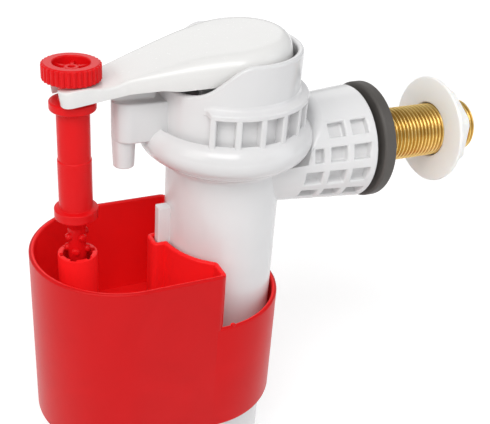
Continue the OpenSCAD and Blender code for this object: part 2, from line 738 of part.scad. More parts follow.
// Float cup: water cup above the deck, air chamber below, sleeve on the down tube
module float_cup() color(red) at_tube() difference() {
    union() {
        difference() {
            translate([0, 0, -cup_low]) linear_extrude(height = cup_low - cup_rim) cup_plan(0);
            translate([-cup_cut, -2 * cup_r, -cup_band]) cube([4 * cup_r, 4 * cup_r, cup_band]);
            cup_space();
            band_space();
            air_space();
        }
        translate([-screw_x, 0, -cup_deck - deck_sink])
            cylinder(h = cup_deck - cup_rim + deck_sink, r = socket_r);
    }
    translate([0, 0, -cup_low - 1]) cylinder(h = cup_low + 1, r = sleeve_r);
    translate([-rib_reach - key_end, -rib_w / 2 - key_side, -cup_low - 1])
        cube([rib_reach + key_end - tube_r + edge, rib_w + 2 * key_side, cup_low + 1]);
    translate([-screw_x, 0, -cup_deck + socket_floor]) cylinder(h = cup_deck, r = socket_bore);
    for (i = [0 : 5]) translate([-screw_x, 0, -cup_rim - slot_deep]) rotate([0, 0, 60 * i])
        translate([0, -slot_w / 2, 0]) cube([socket_bore + slot_cut, slot_w, 2 * slot_deep]);
}

valve_body();
seat_insert();
metering_pin();
diaphragm();
diaphragm_core();
head_cap();
pilot_nozzle();
hinge_pin();
lever();
pilot_pad();
inlet_shank();
shank_o_ring();
regulator_core();
regulator_ring();
inlet_strainer();
seal_washer();
backnut();
level_screw();
float_cup();
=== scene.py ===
"""A side-entry fill valve for a toilet cistern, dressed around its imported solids."""
import math

import bmesh
import bpy
from mathutils import Matrix, Vector


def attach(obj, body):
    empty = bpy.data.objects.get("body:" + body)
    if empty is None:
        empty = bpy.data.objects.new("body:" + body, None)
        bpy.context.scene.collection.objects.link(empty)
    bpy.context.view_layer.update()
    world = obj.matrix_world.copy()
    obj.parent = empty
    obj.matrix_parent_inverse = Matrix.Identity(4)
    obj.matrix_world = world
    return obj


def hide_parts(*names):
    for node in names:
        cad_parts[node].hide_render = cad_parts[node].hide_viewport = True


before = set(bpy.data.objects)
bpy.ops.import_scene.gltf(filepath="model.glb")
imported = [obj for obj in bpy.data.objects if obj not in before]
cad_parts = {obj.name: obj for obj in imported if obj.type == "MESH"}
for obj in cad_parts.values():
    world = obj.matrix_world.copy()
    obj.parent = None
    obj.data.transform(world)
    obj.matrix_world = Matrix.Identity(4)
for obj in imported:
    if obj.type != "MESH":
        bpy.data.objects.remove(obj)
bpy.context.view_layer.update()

# ---------------------------------------- studio
# The valve stands on its down tube's open end on white paper, under a soft box high in front, a long
# one on each side and a weak one behind. The paper pales to pure white far off, so that no horizon
# shows. The camera looks down over the float from the left.
MM = 0.001
scene = bpy.context.scene
scene.view_settings.view_transform = "Standard"

CAMERA_AT = Vector((-136.03, -198.87, 106.43)) * MM
CAMERA_RIGHT = Vector((0.90460, -0.42061, 0.06914))
CAMERA_UP = Vector((0.15330, 0.47239, 0.86796))
CAMERA_BACK = CAMERA_RIGHT.cross(CAMERA_UP)
lens = bpy.data.cameras.new("camera")
lens.sensor_width = 36
lens.lens = 61.6
lens.clip_start = 0.005
camera = bpy.data.objects.new("camera", lens)
camera.matrix_world = Matrix.Translation(CAMERA_AT) @ Matrix(
    (CAMERA_RIGHT, CAMERA_UP, CAMERA_BACK)).transposed().to_4x4()
scene.collection.objects.link(camera)
scene.camera = camera

VALVE_MIDDLE = Vector((-0.045, 0, -0.02))


def soft_box(name, place, width, height, power, colour):
    """An oblong lamp that faces the valve's middle."""
    lamp = bpy.data.lights.new(name, "AREA")
    lamp.shape = "RECTANGLE"
    lamp.size = width
    lamp.size_y = height
    lamp.energy = power
    lamp.color = colour
    box = bpy.data.objects.new(name, lamp)
    aim = VALVE_MIDDLE - Vector(place)
    box.location = place
    box.rotation_euler = aim.to_track_quat("-Z", "Y").to_euler()
    scene.collection.objects.link(box)


soft_box("box_front", (-0.32, -0.60, 0.82), 0.6, 0.5, 4.5, (1, 1, 1))
soft_box("box_left", (-0.78, -0.36, 0.60), 0.5, 0.9, 3.1, (1, 0.97, 0.94))
soft_box("box_right", (0.85, -0.55, 0.30), 0.5, 1.1, 2.2, (0.92, 0.95, 1))
soft_box("box_behind", (0.25, 0.95, 0.55), 0.9, 0.6, 1.6, (1, 1, 1))


class Wire:
    """One output of a node tree: sums and products on it add Math nodes, add() makes any other node."""

    def __init__(self, tree, socket=None):
        self.tree = tree
        self.socket = socket

    def end(self, sockets, key):
        if isinstance(key, int):
            return sockets[key]
        named = [s for s in sockets if s.identifier == key]
        return (named or [s for s in sockets if s.name == key and s.enabled])[0]

    def add(self, kind, settings=None, sockets=None, out=0):
        made = self.tree.nodes.new(kind)
        for name, value in (settings or {}).items():
            if name == "stops":
                ramp = made.color_ramp.elements
                ramp[0].position, ramp[0].color = value[0]
                ramp[1].position, ramp[1].color = value[-1]
                for place, colour in value[1:-1]:
                    ramp.new(place).color = colour
            else:
                setattr(made, name, value)
        for key, value in (sockets or {}).items():
            end = self.end(made.inputs, key)
            if isinstance(value, Wire):
                self.tree.links.new(value.socket, end)
            else:
                end.default_value = value
        return Wire(self.tree, self.end(made.outputs, out))

    def end_in(self, kind, last):
        """The last wire joined to the tree's output."""
        self.tree.links.new(last.socket, self.tree.nodes.new(kind).inputs[0])

    def maths(self, operation, first, second=0.0):
        return self.add("ShaderNodeMath", {"operation": operation}, {0: first, 1: second})

    def axis(self, name):
        return self.add("ShaderNodeSeparateXYZ", {}, {0: self}, name)

    def length(self):
        return self.add("ShaderNodeVectorMath", {"operation": "LENGTH"}, {0: self}, "Value")

    def __add__(self, other):
        return self.maths("ADD", self, other)

    def __radd__(self, other):
        return self.maths("ADD", other, self)

    def __sub__(self, other):
        return self.maths("SUBTRACT", self, other)

    def __rsub__(self, other):
        return self.maths("SUBTRACT", other, self)

    def __mul__(self, other):
        return self.maths("MULTIPLY", self, other)

    def __rmul__(self, other):
        return self.maths("MULTIPLY", other, self)

    def __truediv__(self, other):
        return self.maths("DIVIDE", self, other)

    def __rtruediv__(self, other):
        return self.maths("DIVIDE", other, self)


def new_finish(name):
    """A material with an empty node tree, and the wire to start it from."""
    material = bpy.data.materials.new(name)
    material.use_nodes = True
    material.node_tree.nodes.clear()
    return material, Wire(material.node_tree)


def seen_ray(start):
    """1 for rays that look at the backdrop straight, in a gloss or through a clear part."""
    return start.maths("MAXIMUM", start.add("ShaderNodeLightPath", out="Is Camera Ray"), start.maths(
        "MAXIMUM", start.add("ShaderNodeLightPath", out="Is Glossy Ray"),
        start.add("ShaderNodeLightPath", out="Is Transmission Ray")))


PAPER = (0.82, 0.82, 0.82, 1)
PAPER_GLOW = 0.36
PALES_FROM = 0.35
PALES_TO = 0.95
paper, start = new_finish("white_paper")
matt = start.add("ShaderNodeBsdfDiffuse", {}, {"Color": PAPER})
away = start.add("ShaderNodeTexCoord", out="Object").length()
whiter = start.add("ShaderNodeMapRange", {"interpolation_type": "SMOOTHSTEP"}, {
    "Value": away, "From Min": PALES_FROM, "From Max": PALES_TO, "To Min": PAPER_GLOW, "To Max": 1.0}, out="Result")
glow = start.add("ShaderNodeEmission", {}, {"Color": whiter * seen_ray(start), "Strength": 1.0})
start.end_in("ShaderNodeOutputMaterial", start.add("ShaderNodeAddShader", {}, {0: matt, 1: glow}))

FLOOR_Z = -112.4 * MM
FLOOR_HALF = 1.6
sheet = bpy.data.meshes.new("floor")
sheet.from_pydata([(x * FLOOR_HALF, y * FLOOR_HALF, FLOOR_Z) for x, y in ((-1, -1), (1, -1), (1, 1), (-1, 1))],
                  [], [(0, 1, 2, 3)])
sheet.materials.append(paper)
floor = bpy.data.objects.new("floor", sheet)
scene.collection.objects.link(floor)

sky = bpy.data.worlds.new("studio")
sky.use_nodes = True
sky.node_tree.nodes.clear()
start = Wire(sky.node_tree)
ROOM = 0.48
room_light = start.add("ShaderNodeBackground", {}, {
    "Color": (1, 1, 1, 1), "Strength": ROOM + (1 - ROOM) * start.add("ShaderNodeLightPath", out="Is Camera Ray")})
start.end_in("ShaderNodeOutputWorld", room_light)
scene.world = sky

# ---------------------------------------- down tube and inlet barrel
# One white acetal moulding: the down tube with its key rib, the bowl under the cap and the tapered
# inlet barrel. Rows of square pockets core out the barrel's skin so that it cools without sinking.
TUBE_X = -42.3
TUBE = Matrix.Translation((TUBE_X, 0, 0))
BARREL_END = 42.27
BARREL_ROOT_R = 13.6
BARREL_R = 17.3
COLLAR_GROOVE = 25.15
GROOVE_Z = 1.5
ROOT_ROUND = 2.4
TUBE_R = 16.75
TUBE_BORE = 14.75
TUBE_END = -112
BOWL_R = 21.8
BOWL_IN = 18.5
BOWL_RIM = 9.5
BOWL_FLOOR = 5
SEAT_HOLE = 7.05
OUTLET_R = 5
SOCKET_R = 8.45
SOCKET_DEEP = 14.2


def rounded(corners, steps=5):
    """Closed outline whose corners (x, y, radius) are rounded; a point beside each rounding keeps flats flat."""
    outline = []
    count = len(corners)
    for k, (x, y, radius) in enumerate(corners):
        here = Vector((x, y))
        back = Vector(corners[k - 1][:2]) - here
        ahead = Vector(corners[(k + 1) % count][:2]) - here
        if radius <= 0:
            outline.append((x, y))
            continue
        angle = back.angle(ahead)
        reach = min(radius / math.tan(angle / 2), 0.47 * back.length, 0.47 * ahead.length)
        radius = reach * math.tan(angle / 2)
        middle = here + (back.normalized() + ahead.normalized()).normalized() * (radius / math.sin(angle / 2))
        first = here + back.normalized() * reach - middle
        last = here + ahead.normalized() * reach - middle
        turn = math.atan2(first.x * last.y - first.y * last.x, first.dot(last))
        spare = 0.04 * reach
        outline.append(tuple(here + back.normalized() * (reach + spare)))
        for i in range(steps + 1):
            a = turn * i / steps
            outline.append((middle.x + first.x * math.cos(a) - first.y * math.sin(a),
                            middle.y + first.x * math.sin(a) + first.y * math.cos(a)))
        outline.append(tuple(here + ahead.normalized() * (reach + spare)))
    return outline


def lofted(bm, rings, closed):
    """Skin over rings of points; an open loft gets its two end faces."""
    made = [[bm.verts.new(p) for p in ring] for ring in rings]
    count = len(rings[0])
    for k in range(len(made) if closed else len(made) - 1):
        one = made[k]
        two = made[(k + 1) % len(made)]
        for i in range(count):
            j = (i + 1) % count
            bm.faces.new((one[i], one[j], two[j], two[i]))
    if not closed:
        bm.faces.new(made[0])
        bm.faces.new(list(reversed(made[-1])))


def turned(bm, outline, place, steps, from_angle=0.0, sweep=math.tau):
    """An outline of (radius, height) turned about Z; it may be a function of the angle."""
    whole = sweep > math.tau - 1e-6
    rings = []
    for k in range(steps if whole else steps + 1):
        a = from_angle + sweep * k / steps
        points = outline(a) if callable(outline) else outline
        rings.append([place @ Vector((r * math.cos(a), r * math.sin(a), z)) for r, z in points])
    lofted(bm, rings, whole)


def plate(bm, outline, low, high, place, edge, steps=3):
    """A flat outline raised from low to high, with rounded edges."""
    base = [bm.verts.new(place @ Vector((x, y, low))) for x, y in outline]
    face = bm.faces.new(base)
    raised = bmesh.ops.extrude_face_region(bm, geom=[face], use_keep_orig=True)
    top = [v for v in raised["geom"] if isinstance(v, bmesh.types.BMVert)]
    shift = place.to_3x3() @ Vector((0, 0, high - low))
    bmesh.ops.translate(bm, vec=shift, verts=top)
    own = set(base) | set(top)
    caps = {f for f in bm.faces if set(f.verts) == set(base) or set(f.verts) == set(top)}
    rims = [e for e in bm.edges if own.issuperset(e.verts) and any(f in caps for f in e.link_faces)]
    if edge > 0:
        bmesh.ops.bevel(bm, geom=rims, offset=edge, segments=steps, affect="EDGES", profile=0.5, clamp_overlap=True)


def settle(thing):
    """The thing's modifiers worked into a plain mesh."""
    done = bpy.data.meshes.new_from_object(thing.evaluated_get(bpy.context.evaluated_depsgraph_get()))
    old = thing.data
    thing.modifiers.clear()
    thing.data = done
    bpy.data.meshes.remove(old)
    return thing


def solid(name, bm, material, sharp=38):
    """The bmesh, drawn in millimetres, as an object in metres with smooth shading between sharp edges."""
    bmesh.ops.remove_doubles(bm, verts=bm.verts, dist=2e-4)
    bmesh.ops.dissolve_degenerate(bm, edges=bm.edges, dist=1e-4)
    bmesh.ops.recalc_face_normals(bm, faces=bm.faces)
    bmesh.ops.scale(bm, vec=(MM, MM, MM), verts=bm.verts)
    mesh = bpy.data.meshes.new(name)
    bm.to_mesh(mesh)
    bm.free()
    mesh.shade_smooth()
    mesh.set_sharp_from_angle(angle=math.radians(sharp))
    mesh.materials.append(material)
    thing = bpy.data.objects.new(name, mesh)
    scene.collection.objects.link(thing)
    return thing


def fit(thing, body, slot, *nodes):
    """The piece rides on its body and stands for the solids named, which are hidden; the slot is not used."""
    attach(thing, body)
    if nodes:
        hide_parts(*nodes)
    return thing


def tint(start, factor, first, second):
    """Two colours mixed by a factor."""
    return start.add("ShaderNodeMix", {"data_type": "RGBA"}, {
        "Factor_Float": factor, "A_Color": first, "B_Color": second}, out="Result_Color")


def grain(start, scale, detail, rough, warp=0.0):
    """Even noise fixed to the piece."""
    return start.add("ShaderNodeTexNoise", {}, {
        "Vector": start.add("ShaderNodeTexCoord", out="Object"), "Scale": scale, "Detail": detail,
        "Roughness": rough, "Distortion": warp})


def surface(start, sockets):
    """A Principled surface as the material's end."""
    start.end_in("ShaderNodeOutputMaterial", start.add("ShaderNodeBsdfPrincipled", {}, sockets))


def acetal(name, pale, deep, gloss, clouds, milk):
    """Moulded acetal: milky clouds in the colour, a fine dull grain, faint handling marks."""
    material, start = new_finish(name)
    cloud = grain(start, clouds, 4, 0.6)
    fine = grain(start, 2600, 2, 0.5)
    marks = start.maths("GREATER_THAN", grain(start, 300, 2, 0.7, 6.0), 0.68) * 0.04
    ripple = grain(start, 240, 2, 0.5)
    bump = start.add("ShaderNodeBump", {}, {
        "Strength": 0.03, "Distance": 0.0004, "Height": fine * 0.01 + ripple})
    surface(start, {
        "Base Color": tint(start, cloud, pale, deep), "Roughness": gloss + 0.04 * fine + marks, "Normal": bump,
        "IOR": 1.48, "Subsurface Weight": milk, "Subsurface Radius": (1.0, 0.9, 0.8), "Subsurface Scale": 0.0016})
    return material


body_white = acetal("white_acetal", (0.782, 0.782, 0.786, 1), (0.722, 0.722, 0.728, 1), 0.20, 70, 0)

bm = bmesh.new()
turned(bm, rounded([
    (TUBE_R, TUBE_END, 0.5), (TUBE_R, 0.4, 2.2), (BOWL_R, 3.4, 1.0), (BOWL_R, BOWL_RIM, 0.4), (BOWL_IN, BOWL_RIM, 0.3),
    (BOWL_IN, BOWL_FLOOR, 0.8), (8.5, BOWL_FLOOR, 0.5), (8.5, 8, 0.3), (SEAT_HOLE, 8, 0.2), (SEAT_HOLE, 0, 0.2),
    (OUTLET_R, 0, 0.2), (OUTLET_R, -9, 0.4), (TUBE_BORE, -9, 1.5), (TUBE_BORE, TUBE_END, 0.5)]), TUBE, 160)

RIB_REACH = 20.3
RIB_HALF = 1.6
RIB_TOP = -13
plate(bm, rounded([(-RIB_REACH, -RIB_HALF, 0.5), (-16, -RIB_HALF, 0), (-16, RIB_HALF, 0),
                   (-RIB_REACH, RIB_HALF, 0.5)], 3), TUBE_END, RIB_TOP, TUBE, 0.45)
fit(solid("tube_moulding", bm, body_white), "valve_head", "white_plastic", "valve_body")

POCKET_ROWS = 11
POCKET_FROM = 49.5
POCKET_STEP = (360 - 2 * POCKET_FROM) / (POCKET_ROWS - 1)
POCKET_HALF_ANGLE = 7.6
POCKET_COLUMNS = ((19.65, 24.75), (27.05, 32.15), (34.45, 39.55))
POCKET_DEEP = 2.6
POCKET_SOFT = 0.9
COLLAR_HIDES = 68
ROOT_OUT = 18
END_ROUND = 0.9
slope = (BARREL_R - BARREL_ROOT_R) / BARREL_END


def barrel_root(angle):
    """Where the barrel's skin starts at this angle from the top: at the collar above, in the tube below."""
    out = Vector((0, -math.sin(math.radians(angle)), math.cos(math.radians(angle))))
    radius = BARREL_ROOT_R + slope * ROOT_OUT
    reach = COLLAR_GROOVE if out.z * radius > GROOVE_Z else TUBE_R - 1
    first = math.sqrt(max(4.0, reach ** 2 - (out.y * radius) ** 2))
    return out, first, ROOT_ROUND * min(1.0, max(0.0, (out.z * radius - 5) / 5))


def whole_row(middle):
    """Rows near the top lose their inner pocket under the collar."""
    return COLLAR_HIDES < middle < 360 - COLLAR_HIDES


columns = [x for pair in POCKET_COLUMNS for x in pair]
angles = []
starts = []
for row in range(POCKET_ROWS):
    middle = POCKET_FROM + row * POCKET_STEP
    pocket = [middle - POCKET_HALF_ANGLE, middle, middle + POCKET_HALF_ANGLE]
    angles += pocket
    clear = POCKET_SOFT if whole_row(middle) else 0.2
    starts += [max(sum(barrel_root(a)[1:]) + clear for a in pocket)] * 3
    pocket_end = middle + POCKET_HALF_ANGLE
    pocket_next = middle + POCKET_STEP if row < POCKET_ROWS - 1 else 360 + POCKET_FROM
    gap = pocket_next - POCKET_HALF_ANGLE - pocket_end
    parts = max(2, round(gap / 6))
    between = [pocket_end + gap * k / parts for k in range(1, parts)]
    angles += between
    starts += [sum(barrel_root(a)[1:]) + 0.2 for a in between]

end_rings = [(BARREL_END - END_ROUND - 0.1, 0), (BARREL_END - END_ROUND, 0)]
for k in range(1, 6):
    a = math.radians(18 * k)
    end_rings.append((BARREL_END - END_ROUND * (1 - math.sin(a)), END_ROUND * (1 - math.cos(a))))
rings = []
for angle, begin in zip(angles, starts):
    out, first, root = barrel_root(angle)
    outline = []
    for k in range(5):
        a = math.radians(22.5 * k)
        x = first + root * (1 - math.cos(a))
        outline.append((x, BARREL_ROOT_R + slope * x - root * (1 - math.sin(a))))
    for k, x in enumerate(columns):
        x = max(x, begin + 0.25 * k)
        outline.append((x, BARREL_ROOT_R + slope * x))
    outline += [(x, BARREL_ROOT_R + slope * x - drop) for x, drop in end_rings]
    outline += [(BARREL_END, 16.2), (BARREL_END, 9.3), (BARREL_END, 9.15), (BARREL_END - 0.5, SOCKET_R)]
    outline += [(BARREL_END - SOCKET_DEEP, SOCKET_R), (BARREL_END - SOCKET_DEEP, 4.0)]
    rings.append([TUBE @ (Vector((x, 0, 0)) + out * r) for x, r in outline])
bm = bmesh.new()
made = [[bm.verts.new(p) for p in ring] for ring in rings]
pocket_faces = {}
for k in range(len(made)):
    one = made[k]
    two = made[(k + 1) % len(made)]
    for i in range(len(one) - 1):
        face = bm.faces.new((one[i], one[i + 1], two[i + 1], two[i]))
        low = angles[k]
        high = angles[k + 1] if k + 1 < len(angles) else angles[0] + 360
        centre = (low + high) / 2
        nearest = round((centre - POCKET_FROM) / POCKET_STEP)
        offset = abs(centre - POCKET_FROM - nearest * POCKET_STEP)
        if i in (5, 7, 9) and offset < POCKET_HALF_ANGLE and 0 <= nearest < POCKET_ROWS:
            if i > 5 or whole_row(POCKET_FROM + nearest * POCKET_STEP):
                pocket_faces.setdefault((nearest, i), []).append(face)
bm.faces.new([ring[0] for ring in made])
bm.faces.new([ring[-1] for ring in reversed(made)])
bmesh.ops.recalc_face_normals(bm, faces=bm.faces)
for faces in pocket_faces.values():
    normal = sum((f.normal for f in faces), Vector()).normalized()
    sunk = bmesh.ops.extrude_face_region(bm, geom=faces)
    verts = [v for v in sunk["geom"] if isinstance(v, bmesh.types.BMVert)]
    bmesh.ops.delete(bm, geom=[f for f in faces if f.is_valid], context="FACES_ONLY")
    bmesh.ops.translate(bm, vec=-normal * POCKET_DEEP, verts=verts)
bm.normal_update()
soft = bm.edges.layers.float.new("bevel_weight_edge")
for edge in bm.edges:
    x = sum((v.co.x for v in edge.verts), 0.0) / 2 - TUBE_X
    if columns[0] - 0.1 < x < columns[-1] + 0.1 and math.hypot(edge.verts[0].co.y, edge.verts[0].co.z) > 10 \
            and edge.calc_face_angle(0.0) > math.radians(42):
        edge[soft] = 1.0
barrel_shell = solid("inlet_barrel", bm, body_white, 60)
soften = barrel_shell.modifiers.new("soften", "BEVEL")
soften.width = POCKET_SOFT * MM
soften.segments = 4
soften.limit_method = "WEIGHT"
soften.harden_normals = True
fit(settle(barrel_shell), "valve_head", "white_plastic")

# ---------------------------------------- seat, metering pin and diaphragm
# Inside the bowl: a hard seat ring, a steel metering pin and the rubber diaphragm with its stiff core.
# The diaphragm's rim stays clamped between bowl and cap; its middle lifts off the seat, and the outer leg
# of its rolled fold hangs far enough into the bowl to stay in the rim's ring at full lift.
RUBBER_LOW = 9.52
RUBBER_TOP = 10.98
FOLD_LOW = 7.4
FOLD_TOP = 12.1
FOLD_UNDER = 10.9
RIVET_HOLE = 2.5
METER_AT = -12.0
METER_HOLE = 0.7
MIDDLE_R = 16.9
RIM_IN = 17.05
RIM_R = 21.4


def dress(node, material):
    """A carried-over solid gets its finish."""
    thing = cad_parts[node]
    thing.data.materials.clear()
    thing.data.materials.append(material)


def cut(thing, tool):
    """The tool taken out of the thing."""
    carve = thing.modifiers.new("carve", "BOOLEAN")
    carve.operation = "DIFFERENCE"
    carve.solver = "EXACT"
    carve.object = tool
    settle(thing)
    bpy.data.objects.remove(tool)


def rubber(name, dark, dusty, bloom=30):
    """Moulded rubber: matt, fine grained, with a grey bloom in patches and rubbed bright spots."""
    material, start = new_finish(name)
    cloud = grain(start, bloom, 5, 0.65)
    fine = grain(start, 1900, 3, 0.6)
    bump = start.add("ShaderNodeBump", {}, {"Strength": 0.12, "Distance": 0.0003, "Height": fine})
    surface(start, {
        "Base Color": tint(start, cloud, dark, dusty), "Roughness": 0.42 + 0.22 * cloud + 0.1 * fine,
        "Normal": bump, "IOR": 1.5})
    return material


def streaks(start, scale, detail, turn=(0, 0, 0), warp=0.0):
    """Noise drawn out along an axis by its unequal scales."""
    drawn = start.add("ShaderNodeMapping", {}, {
        "Vector": start.add("ShaderNodeTexCoord", out="Object"), "Scale": scale, "Rotation": turn})
    return start.add("ShaderNodeTexNoise", {}, {"Vector": drawn, "Scale": 1.0, "Detail": detail, "Distortion": warp})


def drawn_steel(name):
    """Drawn pin wire: bright, with fine lines along it."""
    material, start = new_finish(name)
    lines = streaks(start, (3000, 200, 3000), 3.0)
    surface(start, {
        "Base Color": tint(start, lines, (0.66, 0.66, 0.67, 1), (0.5, 0.5, 0.52, 1)), "Metallic": 1.0,
        "Roughness": 0.22 + 0.2 * lines})
    return material


inner_plastic = acetal("natural_acetal", (0.80, 0.79, 0.72, 1), (0.70, 0.69, 0.61, 1), 0.4, 90, 0.2)
black_rubber = rubber("black_rubber", (0.020, 0.019, 0.019, 1), (0.050, 0.047, 0.045, 1))
pin_steel = drawn_steel("pin_steel")
for node in ("seat_insert", "diaphragm_core"):
    dress(node, inner_plastic)
dress("metering_pin", pin_steel)
bm = bmesh.new()
turned(bm, rounded([
    (RIVET_HOLE, RUBBER_LOW, 0.1), (13.0, RUBBER_LOW, 0.4), (13.6, FOLD_UNDER, 0.5), (15.5, FOLD_UNDER, 0.5),
    (16.0, FOLD_LOW, 0.2), (MIDDLE_R, FOLD_LOW, 0.2), (MIDDLE_R, RUBBER_TOP, 0.1), (16.55, RUBBER_TOP, 0.15),
    (16.1, FOLD_TOP, 0.6), (13.1, FOLD_TOP, 0.6), (12.8, RUBBER_TOP, 0.1), (RIVET_HOLE, RUBBER_TOP, 0.1)]), TUBE, 128)
middle = solid("diaphragm_middle", bm, black_rubber)
bm = bmesh.new()
turned(bm, [(0, RUBBER_LOW - 1), (METER_HOLE, RUBBER_LOW - 1), (METER_HOLE, RUBBER_TOP + 1), (0, RUBBER_TOP + 1)],
       TUBE @ Matrix.Translation((METER_AT, 0, 0)), 24)
cut(middle, solid("meter_drill", bm, black_rubber))
fit(middle, "diaphragm_body", "black_rubber", "diaphragm")
bm = bmesh.new()
turned(bm, rounded([(RIM_IN, RUBBER_LOW, 0.2), (RIM_R, RUBBER_LOW, 0.2), (RIM_R, RUBBER_TOP, 0.2),
                    (RIM_IN, RUBBER_TOP, 0.2)]), TUBE, 128)
fit(solid("diaphragm_rim", bm, black_rubber), "valve_head", "black_rubber")

# ---------------------------------------- head cap
# White acetal cap screwed over the bowl: a fat rounded collar, a wall that rises into a shield round
# the lever's dome, a ribbed grip band, two ears for the hinge pin and the drain spout over the float.
CAP_R = 20.0
CAP_IN = 18.2
PLATE = 17.3
RIM_LOW = 25.0
SHIELD_TOP = 34.6
NOTCH_AT = -14.0
CAP_LAND = 11
WELL_R = 17
WELL_TOP = 15.3
COLLAR_IN = 22.2
COLLAR_STEP = 12.2
COLLAR_MID = 8.55
COLLAR_ROUND = 5.2
COLLAR_AXIS = 19.8
cap_white = acetal("cap_acetal", (0.745, 0.743, 0.748, 1), (0.690, 0.688, 0.694, 1), 0.16, 70, 0)


def rim_height(angle):
    """The shield's rim: low on the arm side, a slope, then level round the dome, with eased corners."""
    x = (CAP_R - 0.9) * math.cos(angle)
    heights = [min(SHIELD_TOP, max(RIM_LOW, RIM_LOW + x + 0.35 * k - NOTCH_AT)) for k in range(-8, 9)]
    return sum(heights) / len(heights)


def arc(x, y, radius, first, last, count):
    """Points on an arc, angles in degrees."""
    turns = [math.radians(first + (last - first) * k / count) for k in range(count + 1)]
    return [(x + radius * math.cos(a), y + radius * math.sin(a)) for a in turns]


collar = arc(COLLAR_AXIS, COLLAR_MID, COLLAR_ROUND, 70, -62.5, 24)


def cap_outline(angle):
    """Half section: top plate, wall up to the rim, collar, land on the diaphragm and the well above it."""
    top = rim_height(angle)
    upper = rounded([(0, PLATE, 0), (CAP_IN, PLATE, 1.2), (CAP_IN, top, 0.8), (CAP_R, top, 0.8),
                     (CAP_R, COLLAR_STEP, 0.35), (collar[0][0] - 0.35, COLLAR_STEP, 0.35),
                     collar[0] + (0.4,), collar[1] + (0,)])
    lower = rounded([collar[-1] + (0,), (COLLAR_IN, CAP_LAND, 0.2), (WELL_R, CAP_LAND, 0.3),
                     (WELL_R, WELL_TOP, 1.0), (0, WELL_TOP, 0)])
    return upper[:-1] + collar[1:] + lower[1:]


bm = bmesh.new()
turned(bm, cap_outline, TUBE, 240)

BAND_HALF = math.radians(132)
BAND_EASE = math.radians(9)
BAND_LOW = 20.75
BAND_TOP = 22.2
BAND_R = 22.75


def eased(t):
    """0 to 1, starting and ending gently."""
    t = min(1.0, max(0.0, t))
    return t * t * (3 - 2 * t)


def band_outline(angle):
    """Grip band: a ledge round the wall, sloped and hollowed where it meets the wall, fading at its two ends."""
    turn = math.atan2(math.sin(angle), math.cos(angle))
    reach = CAP_R - 0.1 + (BAND_R - CAP_R + 0.1) * eased((BAND_HALF - abs(turn)) / BAND_EASE)
    out = max(0.3, reach - CAP_R)
    return rounded([(CAP_R - 0.8, BAND_LOW, 0), (CAP_R - 0.1 + out, BAND_LOW, 0.35),
                    (CAP_R - 0.1 + out, BAND_TOP, 0.6), (CAP_R + 0.15 * out, BAND_TOP + 0.6, 1.0),
                    (CAP_R - 0.05, BAND_TOP + 1.8, 0), (CAP_R - 0.8, BAND_TOP + 1.8, 0)])


turned(bm, band_outline, TUBE, 160, -BAND_HALF, 2 * BAND_HALF)

EAR_X = -9.0
EAR_Z = 29.8
EAR_R = 2.5
EAR_FOOT = 16.5
ear = [(EAR_X - EAR_R, EAR_FOOT)] + arc(EAR_X, EAR_Z, EAR_R, 180, 0, 12) + [(EAR_X + EAR_R, EAR_FOOT)]
UPRIGHT = Matrix(((1, 0, 0, 0), (0, 0, -1, 0), (0, 1, 0, 0), (0, 0, 0, 1)))
for low in (-8.4, 6.2):
    plate(bm, ear, low, low + 2.2, TUBE @ UPRIGHT, 0.3)
turned(bm, rounded([(0, 16, 0), (5, 16, 0), (5, 22, 0.5), (2.5, 22, 0.2), (2.5, 21, 0), (0, 21, 0)]),
       TUBE @ Matrix.Translation((6, 0, 0)), 48)

SPOUT_HALF = 4.6
SPOUT_MID = -28.9
SPOUT_FROM = -19.2
DRAIN_X = -30.2
spout = [(SPOUT_FROM, SPOUT_HALF)] + arc(SPOUT_MID, 0, SPOUT_HALF, 90, 270, 24) + [(SPOUT_FROM, -SPOUT_HALF)]
plate(bm, spout, 10, 21.3, TUBE, 0.55, 4)
turned(bm, rounded([(2.9, 1.9, 0.5), (3.3, 11, 0), (2.1, 11, 0), (2.1, 1.9, 0.25)]),
       TUBE @ Matrix.Translation((DRAIN_X, 0, 0)), 56)
fit(solid("cap_moulding", bm, cap_white), "valve_head", "white_plastic", "head_cap")


def node_group(name, **inputs):
    """A geometry node group with named inputs: the wire to start it from and the wires of its inputs."""
    tree = bpy.data.node_groups.new(name, "GeometryNodeTree")
    for title, kind in {"Geometry": "Geometry", **inputs, "Material": "Material"}.items():
        tree.interface.new_socket(title, in_out="INPUT", socket_type="NodeSocket" + kind)
    tree.interface.new_socket("Geometry", in_out="OUTPUT", socket_type="NodeSocketGeometry")
    source = tree.nodes.new("NodeGroupInput")
    return Wire(tree), {s.name: Wire(tree, s) for s in source.outputs if s.name}


def end_group(start, given, last):
    """The last geometry made whole and given its material at the group's output."""
    whole = start.add("GeometryNodeRealizeInstances", {}, {"Geometry": last})
    start.end_in("NodeGroupOutput", start.add("GeometryNodeSetMaterial", {}, {
        "Geometry": whole, "Material": given["Material"]}))
    return start.tree


def worked(thing, group, **sizes):
    """The thing passed through a node group and worked into one plain mesh."""
    step = thing.modifiers.new(group.name, "NODES")
    step.node_group = group
    for item in group.interface.items_tree:
        if item.in_out == "INPUT" and item.name in sizes:
            step[item.identifier] = sizes[item.name]
    return settle(thing)


